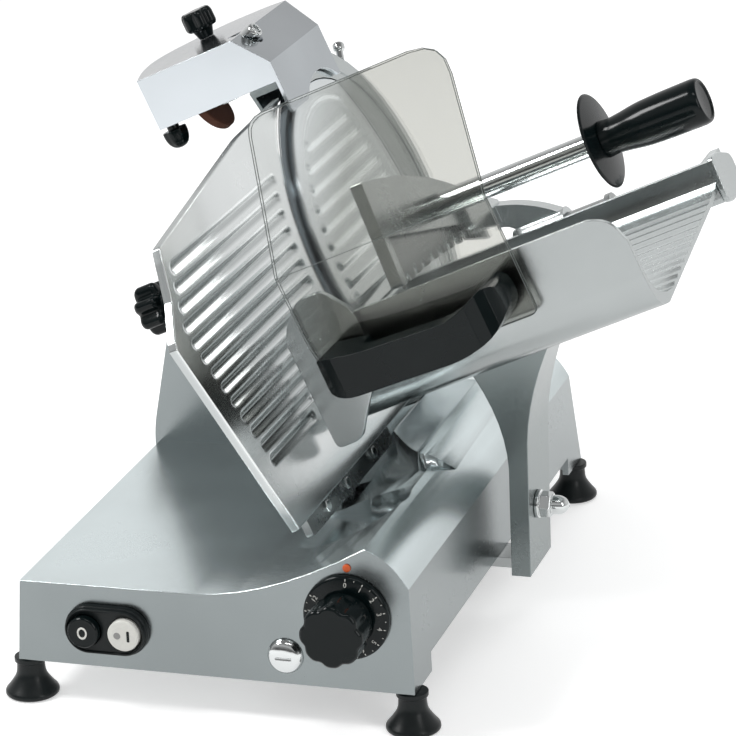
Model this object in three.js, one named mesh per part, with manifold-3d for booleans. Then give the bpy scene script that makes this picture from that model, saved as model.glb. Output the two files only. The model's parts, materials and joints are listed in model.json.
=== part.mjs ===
// Gravity-feed meat slicer with an electric blade, modelled in millimetres, +Z up.
// The machine frame has X to the right, Y to the rear and its zero on the table, under the front left corner.
// The feed frame has its zero at the blade's centre. Its X is the blade's axis, which points up the tray,
// its Y is the machine's Y, and its Z runs up the blade.
import * as THREE from 'three';
import { mergeVertices } from 'three/addons/utils/BufferGeometryUtils.js';
import Module from 'manifold-3d';

const wasm = await Module();
wasm.setup();

// Clearances
const seatGap = 0.3;
const runGap = 0.6;
const cutOver = 1;

// Numbers of flats on round pieces
const wideSides = 48;
const roundSides = 20;
const midSides = 16;
const smallSides = 12;

// Base casting
const baseWidth = 304;
const baseDepth = 488;
const baseUnder = 31;
const baseWall = 5;
const deckHeight = 94;
const deckCorner = 5;
const humpRise = 46;
const humpFromRight = 34;
const humpWidth = 130;
const shoulderRise = 18;
const humpHeight = deckHeight + humpRise;
const humpX = baseWidth - humpFromRight;
const humpFootX = humpX - humpWidth;
const shoulderHeight = deckHeight + shoulderRise;
const sideDraft = 2;
const rearLean = 26;
const slotTop = 46;
const slotFront = 44;
const slotRearWall = 16;

// Blade and feed
const feedTilt = THREE.MathUtils.degToRad(24);
const bladeFromRight = 149;
const bladeFromRear = 84;
const bladeOverDeck = 159;
const bladeX = baseWidth - bladeFromRight;
const bladeY = baseDepth - bladeFromRear;
const bladeZ = deckHeight + bladeOverDeck;
const bladeRadius = 137.5;
const bladeThickness = 5;
const bladeRecess = 2;
const bladeRim = 11;
const bladeBevel = 9;

// Pocket in the deck, and the hood beside the blade's lower edge
const pocketFromRight = 76;
const pocketAhead = 298;
const pocketY = bladeY - pocketAhead;
const pocketRadius = 44;
const pocketRise = 11;
const pocketSides = 32;
const pocketFloor = deckHeight + pocketRise;
const hoodNear = 12;
const hoodRidgeX = humpX - 8;
const hoodRise = 9;

// Tower behind the blade
const towerAhead = 104;
const towerReach = 155;
const towerLeft = bladeX - towerReach;
const towerOverBlade = 45;
const towerFrontY = bladeY - towerAhead;
const towerTopZ = bladeZ + towerOverBlade;
const towerWall = 6;
const towerFace = -27;
const towerCorner = 42;

// Drive inside the tower
const shaftRadius = 10;
const shaftBore = 6.5;
const shaftRear = -77;
const hubRadius = 32;
const hubFlange = 9;
const bearingRadius = 17;
const housingRadius = 25;
const housingFlange = 37;
const housingRear = -61;
const pulleyRadius = 42;
const pulleyFront = -64;
const pulleyWidth = 11;
const pulleyGrooves = 2;
const motorPulleyRadius = 15;
const beltThickness = 3;
const motorU = -8;
const motorV = -96;
const motorRadius = 43;
const motorLength = 84;
const motorShaftRadius = 7;
const webThickness = 5;

// Ring guard and blade cover
const guardOuter = 149;
const guardWall = 8;
const guardFront = 5;
const guardTopAngle = 109;
const guardLowAngle = -109;
const coverRadius = 122;
const coverFront = 4;
const coverBack = -1.2;
const coverBackRadius = 223;
const coverBackU = -128;
const coverBackV = -20;
const coverRibs = 10;
const coverRibTop = 84;
const coverRibPitch = 15;
const coverRibWidth = 10.5;
const coverRibHeight = 2.7;
const coverDish = 1.6;
const coverRim = 16;

// Tie rod that holds the blade cover
const tieRodRadius = 5;
const tieKnobRadius = 22;
const tieKnobLength = 22;
const tieKnobNear = -196;
const tieBossEnd = -186;
const tieBossRoot = -140;
const tieBossRadius = 15;

// Gauge plate
const plateThickness = 6.5;
const plateGap = 2.5;
const plateTravel = 14;
const plateRibs = 13;
const plateRibTop = 80;
const plateRibPitch = 13.2;
const plateRibWidth = 8.6;
const plateRibDepth = 2.4;
const plateRim = 5;
const plateHollow = 2.3;
const footThickness = 6;
const footNear = -plateThickness - seatGap;
const footFar = footNear - footThickness;
const footShelf = 28;
const footLowV = -147;
const carrierU = -222;
const carrierWidth = 56;
const neckWidth = 36;

// Front panel
const dialFromRight = 48;
const dialUnderDeck = 6;
const dialX = baseWidth - dialFromRight;
const dialZ = deckHeight - dialUnderDeck;
const dialRadius = 32;
const dialThickness = 7;
const knobRadius = 23.5;
const knobLength = 34;
const knobLobes = 8;
const dialShaftRadius = 5;
const camWidth = 12;
const camBehindCarrier = 4;
const camY = bladeY + carrierU + carrierWidth / 2 + camBehindCarrier;
const camLow = 16;
const camGap = 0.8;
const guideFromRight = 96;
const guideX = baseWidth - guideFromRight;
const guideZ = 53;
const plugRadius = 13.5;
const switchX = 72.5;
const switchUnderDeck = 32;
const switchZ = deckHeight - switchUnderDeck;
const switchWidth = 64;
const switchHeight = 37;
const switchProud = 9;
const buttonRadius = 12;
const buttonSpacing = 31;
const buttonTravel = 2.5;
const buttonReach = buttonRadius + 2 * runGap;

// Feet
const footFromSide = 5;
const footFromEnd = 10;
const footNeckRadius = 10.5;
const footFlangeRadius = 20;

// Carriage
const guideRodRadius = 9;
const blockRadius = 18;
const blockLength = 84;
const armClear = 17;
const armAhead = 201;
const armLeft = baseWidth + armClear;
const armThickness = 15;
const armFrontY = bladeY - armAhead;
const armDepth = 62;
const armUnder = 42;
const barHeight = 8;
const barDepth = 30;
const trackFromRight = 19;
const trackX = baseWidth - trackFromRight;
const trackWidth = 7;
const trackZ = 50;
const trackHeight = 16;

// Tray in the feed frame
const trayLow = 9;
const trayHigh = 281;
const trayWall = 4;
const bedFrontU = -226;
const bedRearU = -8;
const bedFrontV = -95;
const bedRearV = -70;
const wallU = -254;
const wallTopV = -16;
const bedFlutes = 14;
const fluteDepth = 1.8;
const railWall = 6;
const railTopV = -53;
const railFloorV = -81;
const railWidth = 46;
const slideRodU = 15;
const slideRodV = -64;
const slideRodRadius = 5.5;
const slideRodInset = 8;

// Finger guard
const shieldThickness = 4;
const shieldLeft = 24;
const shieldRight = 200;
const shieldLow = -64;
const shieldBend = 29;
const shieldTop = 125;
const shieldLean = THREE.MathUtils.degToRad(30);
const shieldCorner = 28;

// Pusher
const pusherN = 88;
const pusherThickness = 6;
const pusherFrontU = -212;
const stripWidth = 10;
const hubFrom = 108;
const hubTo = 150;
const hubOuter = 15.5;
const bushRadius = 10;
const bushTo = 186;
const rodU = -97;
const rodV = 8;
const rodRadius = 9;
const discN = 236;
const discRadius = 38;
const gripLength = 84;
const gripRadius = 18.5;
const toothCount = 8;
const toothDepth = 9;

// Sharpener in the feed frame
const sharpLeft = -102;
const sharpRight = 9;
const sharpFrontU = -65;
const sharpRearU = 56;
const sharpBulge = 27;
const sharpRoofV = 184;
const sharpRoofEnd = -14;
const sharpShoulderV = 157;
const sharpHemV = 141;
const sharpSkirt = 27;
const sharpSheet = 3;
const sharpNotch = 60;
const wheelRadius = 22;
const wheelThickness = 8;

const deg = THREE.MathUtils.degToRad;

function finish(color, roughness, metalness) {
  return new THREE.MeshStandardMaterial({ color, roughness, metalness });
}

const brushed = finish(0xb9bcbe, 0.35, 0.9);
const polished = finish(0xd6d8da, 0.16, 1);
const plateMetal = finish(0xc4c7c9, 0.3, 0.9);
const steel = finish(0x9a9da0, 0.25, 1);
const blackPlastic = finish(0x141618, 0.35, 0);
const rubber = finish(0x18191a, 0.75, 0);
const whitePlastic = finish(0xe8e8e4, 0.4, 0);
const orange = finish(0xd8512a, 0.4, 0);
const clear = finish(0xd9d8d0, 0.08, 0);
const stone = finish(0x5a3426, 0.9, 0);
const paint = finish(0x3b4046, 0.5, 0.3);

// Solids

function solidOf(geometry) {
  const bare = geometry.index ? geometry.toNonIndexed() : geometry.clone();
  bare.deleteAttribute('normal');
  bare.deleteAttribute('uv');
  const merged = mergeVertices(bare, 1e-4);
  const mesh = new wasm.Mesh({
    numProp: 3,
    vertProperties: new Float32Array(merged.attributes.position.array),
    triVerts: new Uint32Array(merged.index.array),
  });
  return new wasm.Manifold(mesh);
}

function join(...solids) {
  return solids.reduce((whole, next) => whole.add(next));
}

function cut(body, ...tools) {
  return tools.reduce((whole, next) => whole.subtract(next), body);
}

function geometryOf(solid) {
  const mesh = solid.getMesh();
  const geometry = new THREE.BufferGeometry();
  geometry.setAttribute('position', new THREE.BufferAttribute(mesh.vertProperties, 3));
  geometry.setIndex(new THREE.BufferAttribute(mesh.triVerts, 1));
  return geometry;
}

// A closed outline through corners given as [x, y] or, where the corner is rounded, [x, y, radius].
function outline(corners) {
  const shape = new THREE.Shape();
  const points = corners.map(([x, y]) => new THREE.Vector2(x, y));
  corners.forEach(([, , radius = 0], i) => {
    const here = points[i];
    const toBefore = points[(i + points.length - 1) % points.length].clone().sub(here);
    const toAfter = points[(i + 1) % points.length].clone().sub(here);
    const reach = Math.min(radius, toBefore.length() / 2, toAfter.length() / 2);
    const start = toBefore.setLength(reach).add(here);
    const end = toAfter.setLength(reach).add(here);
    if (i === 0) shape.moveTo(start.x, start.y);
    else shape.lineTo(start.x, start.y);
    if (reach > 0) shape.quadraticCurveTo(here.x, here.y, end.x, end.y);
  });
  shape.closePath();
  return shape;
}

function circle(radius, sides, x = 0, y = 0) {
  const corners = [];
  for (let i = 0; i < sides; i += 1) {
    const angle = (2 * Math.PI * i) / sides;
    corners.push([x + radius * Math.cos(angle), y + radius * Math.sin(angle)]);
  }
  return outline(corners);
}

function lobed(radius, lobes, depth, sides) {
  const corners = [];
  for (let i = 0; i < sides; i += 1) {
    const angle = (2 * Math.PI * i) / sides;
    const reach = radius - depth * (0.5 - 0.5 * Math.cos(lobes * angle));
    corners.push([reach * Math.cos(angle), reach * Math.sin(angle)]);
  }
  return outline(corners);
}

const axes = {
  x: [new THREE.Vector3(0, 1, 0), new THREE.Vector3(0, 0, 1), new THREE.Vector3(1, 0, 0)],
  y: [new THREE.Vector3(1, 0, 0), new THREE.Vector3(0, 0, 1), new THREE.Vector3(0, -1, 0)],
  z: [new THREE.Vector3(1, 0, 0), new THREE.Vector3(0, 1, 0), new THREE.Vector3(0, 0, 1)],
};

// A prism of an outline along one axis, from one place on that axis to another.
// Its outline is drawn in (y, z) along x, in (x, z) along y and in (x, y) along z.
function prism(shape, axis, from, to, curveSegments = 4) {
  const geometry = new THREE.ExtrudeGeometry(shape, {
    depth: to - from, steps: 1, bevelEnabled: false, curveSegments,
  });
  geometry.applyMatrix4(new THREE.Matrix4().makeBasis(...axes[axis]));
  const shift = { x: [from, 0, 0], y: [0, to, 0], z: [0, 0, from] }[axis];
  geometry.translate(...shift);
  return solidOf(geometry);
}

function box(x0, x1, y0, y1, z0, z1) {
  const geometry = new THREE.BoxGeometry(x1 - x0, y1 - y0, z1 - z0);
  geometry.translate((x0 + x1) / 2, (y0 + y1) / 2, (z0 + z1) / 2);
  return solidOf(geometry);
}

// A turned piece about one axis from a profile of [radius, place on the axis] points.
function turned(profile, axis, sides) {
  const points = profile.map(([radius, place]) => new THREE.Vector2(radius, place));
  const geometry = new THREE.LatheGeometry([...points, points[0].clone()], sides);
  const turn = { x: [0, 0, -Math.PI / 2], y: [0, 0, 0], z: [Math.PI / 2, 0, 0] }[axis];
  geometry.applyMatrix4(new THREE.Matrix4().makeRotationFromEuler(new THREE.Euler(...turn)));
  const solid = solidOf(geometry);
  return solid.volume() < 0 ? solidOf(flipped(geometry)) : solid;
}

function flipped(geometry) {
  const inside = geometry.clone();
  const index = inside.index.array;
  for (let i = 0; i < index.length; i += 3) [index[i], index[i + 1]] = [index[i + 1], index[i]];
  return inside;
}

function rod(axis, radius, from, to, a, b, sides = midSides) {
  return prism(circle(radius, sides, a, b), axis, from, to);
}

const machine = new THREE.Group();
const feed = new THREE.Group();
feed.position.set(bladeX, bladeY, bladeZ);
feed.rotation.y = -feedTilt;
machine.add(feed);

function piece(name, solid, material, parent = machine) {
  const mesh = new THREE.Mesh(geometryOf(solid), material);
  mesh.name = name;
  parent.add(mesh);
  return mesh;
}

// A solid of the feed frame, moved into the machine frame.
const feedMatrix = new THREE.Matrix4().makeRotationY(-feedTilt).setPosition(bladeX, bladeY, bladeZ);

function inMachine(solid) {
  return solid.transform(feedMatrix.elements);
}

const sinTilt = Math.sin(feedTilt);
const cosTilt = Math.cos(feedTilt);

// Places of the machine frame, as seen along Y, in the feed frame
function feedX(x, z) {
  return (x - bladeX) * cosTilt + (z - bladeZ) * sinTilt;
}

function feedZ(x, z) {
  return (z - bladeZ) * cosTilt - (x - bladeX) * sinTilt;
}

function machineX(n, v) {
  return bladeX + n * cosTilt - v * sinTilt;
}

function machineZ(n, v) {
  return bladeZ + n * sinTilt + v * cosTilt;
}

// Base casting: a shell with a flat deck at the left, a swept hump at the right and the blade's tower behind.

function baseSection(inset, floor) {
  const shape = new THREE.Shape();
  shape.moveTo(inset, floor);
  shape.lineTo(deckCorner + inset, deckHeight - inset);
  shape.lineTo(humpFootX, deckHeight + 1 - inset);
  shape.quadraticCurveTo(humpX - 74, deckHeight + 2 - inset, humpX, humpHeight - inset * 1.2);
  shape.quadraticCurveTo(
    humpX + 20 - inset / 2, humpHeight - 6 - inset, baseWidth - sideDraft - inset, shoulderHeight - inset,
  );
  shape.lineTo(baseWidth - inset, floor);
  shape.closePath();
  return shape;
}

function rearY(z) {
  return baseDepth - (rearLean * (z - baseUnder)) / (shoulderHeight - baseUnder);
}

function towerSection(inset) {
  const face = towerFace - inset;
  const topX = machineX(face, 0) - (towerTopZ - inset - machineZ(face, 0)) * Math.tan(feedTilt);
  const lowZ = deckHeight - 34;
  const lowX = machineX(face, 0) - (lowZ - machineZ(face, 0)) * Math.tan(feedTilt);
  const left = towerLeft + inset;
  return outline([
    [left, lowZ],
    [left, deckHeight + 10, 12],
    [left + 17, deckHeight + 96, 20],
    [left + 36, bladeZ + 2, 20],
    [left + 62, towerTopZ - inset, 26],
    [topX, towerTopZ - inset, 8],
    [lowX, lowZ],
  ]);
}

function towerSide(inset) {
  return outline([
    [towerFrontY + inset, deckHeight - 40],
    [towerFrontY + inset, towerTopZ - inset, towerCorner],
    [rearY(shoulderHeight) - inset, towerTopZ - inset, towerCorner],
    [rearY(shoulderHeight) - inset, deckHeight - 40],
  ]);
}

function towerBody(inset) {
  const across = prism(towerSection(inset), 'y', towerFrontY + inset, baseDepth);
  return across.intersect(prism(towerSide(inset), 'x', towerLeft - cutOver, baseWidth));
}

// The hood beside the blade's lower edge: a ridge with a hollowed left side and a rounded right side.
// Its front is cut off slantwise, and its left side stops short of the blade.
function hood() {
  const ridgeZ = humpHeight + hoodRise;
  const plan = outline([
    [-72, -80, 0], [-72, -114, 0], [-37, -173, 0], [0, -236, 5], [22, -226, 16], [34, -168, 60],
    [35, -108, 12], [0, -70, 10], [-50, -10, 0],
  ].map(([x, y, radius]) => [hoodRidgeX + x, bladeY + y, radius]));
  const profile = new THREE.Shape();
  profile.moveTo(hoodRidgeX - 80, deckHeight);
  profile.lineTo(hoodRidgeX - 80, humpHeight - 3);
  profile.quadraticCurveTo(hoodRidgeX - 24, humpHeight - 3, hoodRidgeX - 5, ridgeZ - 1);
  profile.quadraticCurveTo(hoodRidgeX, ridgeZ + 1.5, hoodRidgeX + 7, ridgeZ - 1);
  profile.quadraticCurveTo(humpX + 18, humpHeight, baseWidth - 5, deckHeight + 4);
  profile.closePath();
  const beside = inMachine(box(hoodNear, 2 * baseWidth, -baseDepth, baseDepth, -baseWidth, baseWidth));
  return prism(plan, 'z', deckHeight, ridgeZ + cutOver)
    .intersect(prism(profile, 'y', 0, baseDepth, 5))
    .intersect(beside);
}

// The round pocket in front of the gauge plate, or the wall that is kept round it.
function pocket(grow) {
  return rod('z', pocketRadius + grow, pocketFloor - grow, humpHeight + cutOver,
    baseWidth - pocketFromRight, pocketY, pocketSides);
}

function baseCasting() {
  const side = outline([[0, baseUnder], [0, 2 * baseDepth], [rearY(shoulderHeight), 2 * baseDepth],
    [rearY(shoulderHeight), shoulderHeight], [baseDepth, baseUnder]]);
  const length = prism(side, 'x', -cutOver, baseWidth + cutOver);
  const outer = join(
    prism(baseSection(0, baseUnder), 'y', 0, baseDepth, 7).intersect(length),
    towerBody(0),
    hood(),
  );
  const tieBoss = inMachine(rod('x', tieBossRadius, tieBossEnd, tieBossRoot, 0, 0, roundSides));
  const hollow = join(
    prism(baseSection(baseWall, baseUnder - cutOver), 'y', baseWall, rearY(shoulderHeight) - baseWall, 7),
    towerBody(towerWall),
  );
  const slot = box(baseWidth - 3 * baseWall, baseWidth + cutOver, slotFront,
    baseDepth - slotRearWall - rearLean, baseUnder - cutOver, slotTop);
  const slotReach = neckWidth / 2 + 2;
  const carrierSlot = inMachine(box(footNear - footThickness - 42, footFar + 8.3,
    carrierU - slotReach, carrierU + slotReach, footLowV - 25, footLowV + 11));
  const shelfReach = carrierWidth / 2 + 2;
  const shelfSeat = inMachine(box(footFar - footShelf - plateTravel - 2, footFar,
    carrierU - shelfReach, carrierU + shelfReach, footLowV - 1.5, footLowV + 47));
  const webFrom = housingRear - pulleyWidth - 9.5;
  const motorWeb = inMachine(box(webFrom, webFrom + webThickness, towerFrontY - bladeY - 10,
    baseDepth - bladeY, motorV - motorRadius, motorV + motorRadius)).intersect(towerBody(0));
  const holes = [
    rod('y', guideRodRadius + 0.3, -cutOver, baseWall + cutOver, guideX, guideZ),
    rod('y', dialShaftRadius + runGap, -cutOver, baseWall + cutOver, dialX, dialZ),
    prism(stadium(buttonSpacing + 2 * buttonReach, 2 * buttonReach), 'y', -cutOver, baseWall + cutOver, 6)
      .translate(switchX, 0, switchZ),
    inMachine(rod('x', housingRadius + seatGap, towerFace - towerWall - 3, towerFace + 3, 0, 0)),
    inMachine(rod('x', tieRodRadius + 1, tieBossEnd - 1, tieBossRoot + 10, 0, 0)),
    inMachine(rod('x', motorShaftRadius + 2, shaftRear - 12, pulleyFront, motorU, motorV)),
  ];
  return cut(join(cut(outer, hollow.subtract(pocket(baseWall))), motorWeb, tieBoss), slot, pocket(0),
    shelfSeat, carrierSlot, ...holes);
}

// A bar with round ends about the origin.
function stadium(width, height) {
  const [x, y] = [width / 2, height / 2];
  return outline([[-x, -y, y], [x, -y, y], [x, y, y], [-x, y, y]]);
}

const ventCount = 6;
const ventPitch = 12;
const ventWidth = 5;

function bottomCover() {
  const left = baseWall + 2 * seatGap;
  const right = guideX - blockRadius - 8;
  const rear = rearY(shoulderHeight) - baseWall - seatGap;
  const plate = prism(outline([
    [left, baseWall + seatGap, 6],
    [right, baseWall + seatGap, 6],
    [right, rear, 6],
    [left, rear, 6],
  ]), 'z', baseUnder, baseUnder + 2);
  const vents = [];
  for (let i = 0; i < ventCount; i += 1) {
    const front = rear - ventCount * ventPitch - 50 + i * ventPitch;
    vents.push(box(right / 3, right * 0.67, front, front + ventWidth, baseUnder - cutOver, baseUnder + 3));
  }
  return cut(plate, ...vents);
}

function foot() {
  return turned([
    [0, 0], [footFlangeRadius - 1.5, 0], [footFlangeRadius, 2], [footFlangeRadius, 5],
    [footNeckRadius + 1, 17], [footNeckRadius, baseUnder - seatGap], [0, baseUnder - seatGap],
  ], 'z', midSides);
}

piece('base_casting', baseCasting(), brushed);
piece('bottom_cover', bottomCover(), steel);
const footSpots = {
  foot_front_left: [footFromSide, footFromEnd],
  foot_front_right: [baseWidth - footFromSide, footFromEnd],
  foot_rear_left: [footFromSide, baseDepth - footFromEnd],
  foot_rear_right: [baseWidth - footFromSide, baseDepth - footFromEnd],
};
for (const [name, [x, y]] of Object.entries(footSpots)) {
  piece(name, foot(), rubber).position.set(x, y, 0);
}

// Switch station with its two push buttons

function switchBoot() {
  const plate = prism(stadium(switchWidth, switchHeight), 'y', -switchProud, -seatGap);
  const body = box(-switchWidth / 3 + seatGap, switchWidth / 3 - seatGap, -cutOver, 26, -11.5, 11.5);
  const wells = [-1, 1].map((sideOf) => rod('y', buttonRadius + runGap, -switchProud - cutOver, 3,
    (sideOf * buttonSpacing) / 2, 0, roundSides));
  return cut(join(plate, body), ...wells);
}

function pushButton(proud) {
  return turned([
    [0, -switchProud - proud], [buttonRadius - 1.5, -switchProud - proud],
    [buttonRadius, -switchProud - proud + 1.5],
    [buttonRadius, 2 - buttonTravel - seatGap], [0, 2 - buttonTravel - seatGap],
  ], 'y', roundSides);
}

piece('switch_boot', switchBoot(), rubber).position.set(switchX, 0, switchZ);
piece('stop_button', pushButton(4.5), blackPlastic).position.set(switchX - buttonSpacing / 2, 0, switchZ);
piece('start_button', pushButton(3.2), whitePlastic).position.set(switchX + buttonSpacing / 2, 0, switchZ);

// Thickness dial, its shaft and the spiral cam that pushes the gauge carrier

function dialFlange() {
  return turned([
    [dialShaftRadius + 0.2, -dialThickness], [dialRadius - 3, -dialThickness],
    [dialRadius, -dialThickness + 2.5],
    [dialRadius, -runGap], [dialShaftRadius + 0.2, -runGap],
  ], 'y', roundSides + 4);
}

function dialKnob() {
  const near = -dialThickness - seatGap;
  const skirt = prism(circle(knobRadius - 4, roundSides), 'y', near - 8, near);
  const grip = prism(lobed(knobRadius, knobLobes, 2.6, 5 * knobLobes), 'y', near - knobLength,
    near - 8 + 0.01);
  const hollow = rod('y', dialShaftRadius + 0.2, near - knobLength + 10, near + 1, 0, 0);
  return cut(join(skirt, grip), hollow);
}

const camTurn = deg(300);
const camLead = deg(17);

// A disc whose radius grows with the angle, so that a turn of the dial pushes the gauge carrier away.
function thicknessCam() {
  const corners = [];
  const steps = 28;
  const first = Math.PI + feedTilt + camLead;
  const sweep = camTurn + 2 * camLead;
  const growth = plateTravel / camTurn;
  for (let i = steps; i >= 0; i -= 1) {
    const passed = (sweep * i) / steps;
    const reach = camLow - camGap + growth * (passed - camLead);
    corners.push([reach * Math.cos(first - passed), reach * Math.sin(first - passed)]);
  }
  const disc = prism(outline(corners), 'y', camY, camY + camWidth);
  const shaft = rod('y', dialShaftRadius, -dialThickness - knobLength + 12, camY + camWidth + 6, 0, 0);
  return join(disc, shaft);
}

piece('dial_flange', dialFlange(), blackPlastic).position.set(dialX, 0, dialZ);
piece('dial_knob', dialKnob(), blackPlastic).position.set(dialX, 0, dialZ);
piece('thickness_cam', thicknessCam(), steel).position.set(dialX, 0, dialZ);
piece('index_dot', turned([[0, -2], [2.6, -1.2], [3, -seatGap], [0, -seatGap]], 'y', smallSides), orange)
  .position.set(dialX + 1, 0, dialZ + dialRadius + 5);

// Carriage guide: the rod behind the domed plug, the flat track and the sliding block

function frontPlug() {
  return turned([
    [0, -7], [plugRadius * 0.55, -6], [plugRadius * 0.85, -3.6], [plugRadius, -seatGap],
    [0, -seatGap],
  ], 'y', roundSides);
}

const rodRear = rearY(shoulderHeight) - baseWall - seatGap;
piece('front_plug', frontPlug(), polished).position.set(guideX, 0, guideZ);
piece('guide_rod', rod('y', guideRodRadius, seatGap, rodRear, guideX, guideZ), polished);
const track = box(trackX, trackX + trackWidth, baseWall + seatGap, rodRear, trackZ, trackZ + trackHeight);
piece('guide_track', track, steel);

function slideBlock() {
  const front = armFrontY + armDepth / 2 - blockLength / 2 + 10;
  const barrel = rod('y', blockRadius, front, front + blockLength, guideX, guideZ, roundSides);
  const barY = front + (blockLength - barDepth) / 2;
  const bar = box(guideX, armLeft - seatGap, barY, barY + barDepth, slotTop - runGap - barHeight,
    slotTop - runGap);
  const shoe = cut(
    box(trackX - 4, trackX + trackWidth + 4, barY, barY + barDepth, slotTop - runGap - 2, trackZ + 8),
    box(trackX - runGap, trackX + trackWidth + runGap, barY - cutOver, barY + barDepth + cutOver,
      trackZ - runGap, trackZ + trackHeight),
  );
  const bore = rod('y', guideRodRadius + runGap, front - cutOver, front + blockLength + cutOver, guideX,
    guideZ);
  return cut(join(barrel, bar, shoe), bore);
}

piece('slide_block', slideBlock(), steel);

// Carriage arm: a flat column that flares into the sloping underside of the tray

const underFrontV = bedFrontV - trayWall;
const underRearU = bedRearU - 6;
const underRearV = bedRearV - trayWall - 2;

function trayUnderV(u) {
  return underFrontV + ((u - bedFrontU) * (underRearV - underFrontV)) / (underRearU - bedFrontU);
}

function carriageArm() {
  const high = underRearV;
  const leftN = 100;
  const rightN = 204;
  const rearU = 0;
  const shape = new THREE.Shape();
  shape.moveTo(armLeft, armUnder);
  shape.lineTo(armLeft, 128);
  shape.quadraticCurveTo(armLeft - 2, 176, machineX(leftN, high), machineZ(leftN, high));
  shape.lineTo(machineX(rightN, high), machineZ(rightN, high));
  shape.quadraticCurveTo(armLeft + armThickness + 2, 206, armLeft + armThickness, 150);
  shape.lineTo(armLeft + armThickness, armUnder);
  shape.closePath();
  const below = prism(outline([
    [bedFrontU, underFrontV - seatGap], [bedFrontU, -400], [rearU, -400],
    [rearU, trayUnderV(rearU) - seatGap],
  ]), 'x', 0, trayHigh);
  return prism(shape, 'y', armFrontY, armFrontY + armDepth, 8).intersect(inMachine(below));
}

function capNut() {
  const washer = rod('x', 11, 0, 3, 0, 0);
  const hex = rod('x', 10, 3, 12, 0, 0, 6);
  const dome = turned([[0, 12], [7.5, 12], [7.5, 18], [6, 22], [3, 25], [0, 26]], 'x', smallSides);
  return join(washer, hex, dome);
}

piece('carriage_arm', carriageArm(), brushed);
piece('arm_cap_nut', capNut(), polished).position.set(armLeft + armThickness + seatGap, armFrontY + 24, 93);

// Tray: one sheet section that makes the curved front wall and the fluted bed, and a rear rail

function traySection() {
  const shape = new THREE.Shape();
  const bedSlope = (bedRearV - bedFrontV) / (bedRearU - bedFrontU);
  shape.moveTo(wallU, wallTopV);
  shape.lineTo(wallU, bedFrontV + 26);
  shape.quadraticCurveTo(wallU, bedFrontV - 2, bedFrontU, underFrontV);
  shape.lineTo(underRearU, underRearV);
  shape.lineTo(bedRearU - 2, railFloorV - railWall);
  shape.lineTo(bedRearU + railWidth, railFloorV - railWall);
  shape.lineTo(bedRearU + railWidth, railFloorV + 16);
  shape.lineTo(bedRearU + railWidth - railWall, railFloorV + 16);
  shape.lineTo(bedRearU + railWidth - railWall, railFloorV);
  shape.lineTo(bedRearU + railWall, railFloorV);
  shape.lineTo(bedRearU + railWall, railTopV);
  shape.lineTo(bedRearU, railTopV);
  shape.lineTo(bedRearU, bedRearV);
  const pitch = (bedRearU - bedFrontU - 20) / bedFlutes;
  for (let i = 0; i < bedFlutes; i += 1) {
    const ridge = bedRearU - 6 - i * pitch;
    const height = bedRearV + (ridge - bedRearU) * bedSlope;
    shape.lineTo(ridge, height);
    shape.lineTo(ridge - pitch * 0.25, height - fluteDepth);
    shape.lineTo(ridge - pitch * 0.7, height - fluteDepth);
  }
  shape.quadraticCurveTo(wallU + trayWall + 2, bedFrontV + 4, wallU + trayWall, bedFrontV + 30);
  shape.lineTo(wallU + trayWall, wallTopV);
  shape.closePath();
  return shape;
}

function tray() {
  const trough = prism(traySection(), 'x', trayLow, trayHigh, 5);
  const wallCorner = prism(outline([
    [trayHigh - 30, wallTopV + 2], [trayHigh - 6, wallTopV - 5, 16], [trayHigh, wallTopV - 28, 12],
    [trayHigh + 20, wallTopV - 28], [trayHigh + 20, wallTopV + 2],
  ]), 'y', wallU - 1, wallU + trayWall + 4);
  const lugEnds = [[trayLow, trayLow + slideRodInset], [trayHigh - slideRodInset, trayHigh]];
  const lugs = lugEnds.map(([from, to]) => box(
    from, to, bedRearU + railWall - 1, bedRearU + railWidth - railWall + 1, railFloorV - 1, railTopV));
  const rodHole = rod('x', slideRodRadius + seatGap, trayLow - 1, trayHigh + 1, slideRodU, slideRodV);
  return cut(join(cut(trough, wallCorner), ...lugs), rodHole);
}

const bracketThickness = 6;
const handleLeft = 42;
const handleRight = 194;
const handleDepth = 45;
const handleBar = 21;
const handleLeg = 32;
const bracketFaceU = wallU - seatGap - bracketThickness;
const shieldFaceU = bracketFaceU - seatGap - shieldThickness;

function trayBracket() {
  return prism(outline([
    [7, -20, 3], [14, -6, 4], [30, 8, 6], [50, 8, 6], [68, wallTopV + 1, 10],
    [66, -60, 8], [40, -92, 8], [30, -107, 6], [8, -108, 6],
  ]), 'y', bracketFaceU, wallU - seatGap, 3);
}

// The handle: a thick bar with a finger gap behind it, whose right leg rises to the guard's corner.
function trayHandle() {
  const back = shieldFaceU - seatGap;
  const front = back - handleDepth;
  const face = prism(outline([
    [handleLeft, -30, 6], [handleLeft - 1, -57, 10], [handleLeft + 14, -65, 10], [handleRight - 42, -68, 20],
    [handleRight - 14, -60, 12], [handleRight, -46, 8], [handleRight - 2, -29, 5], [handleRight - 10, -24, 5],
    [handleRight - 40, -38, 14], [handleLeft + 36, -35, 8],
  ]), 'y', front, back, 3);
  const plan = prism(outline([
    [handleLeft - 2, back], [handleLeft - 2, front, 16], [handleRight - 4, front, 26],
    [handleRight + 1, back],
  ]), 'z', -100, 0, 4);
  const gap = prism(outline([
    [handleLeft + handleLeg, back + 1], [handleLeft + handleLeg, front + handleBar, 8],
    [handleRight - handleLeg, front + handleBar, 8], [handleRight - handleLeg, back + 1],
  ]), 'z', -110, 10, 3);
  return cut(face.intersect(plan), gap);
}

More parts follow.
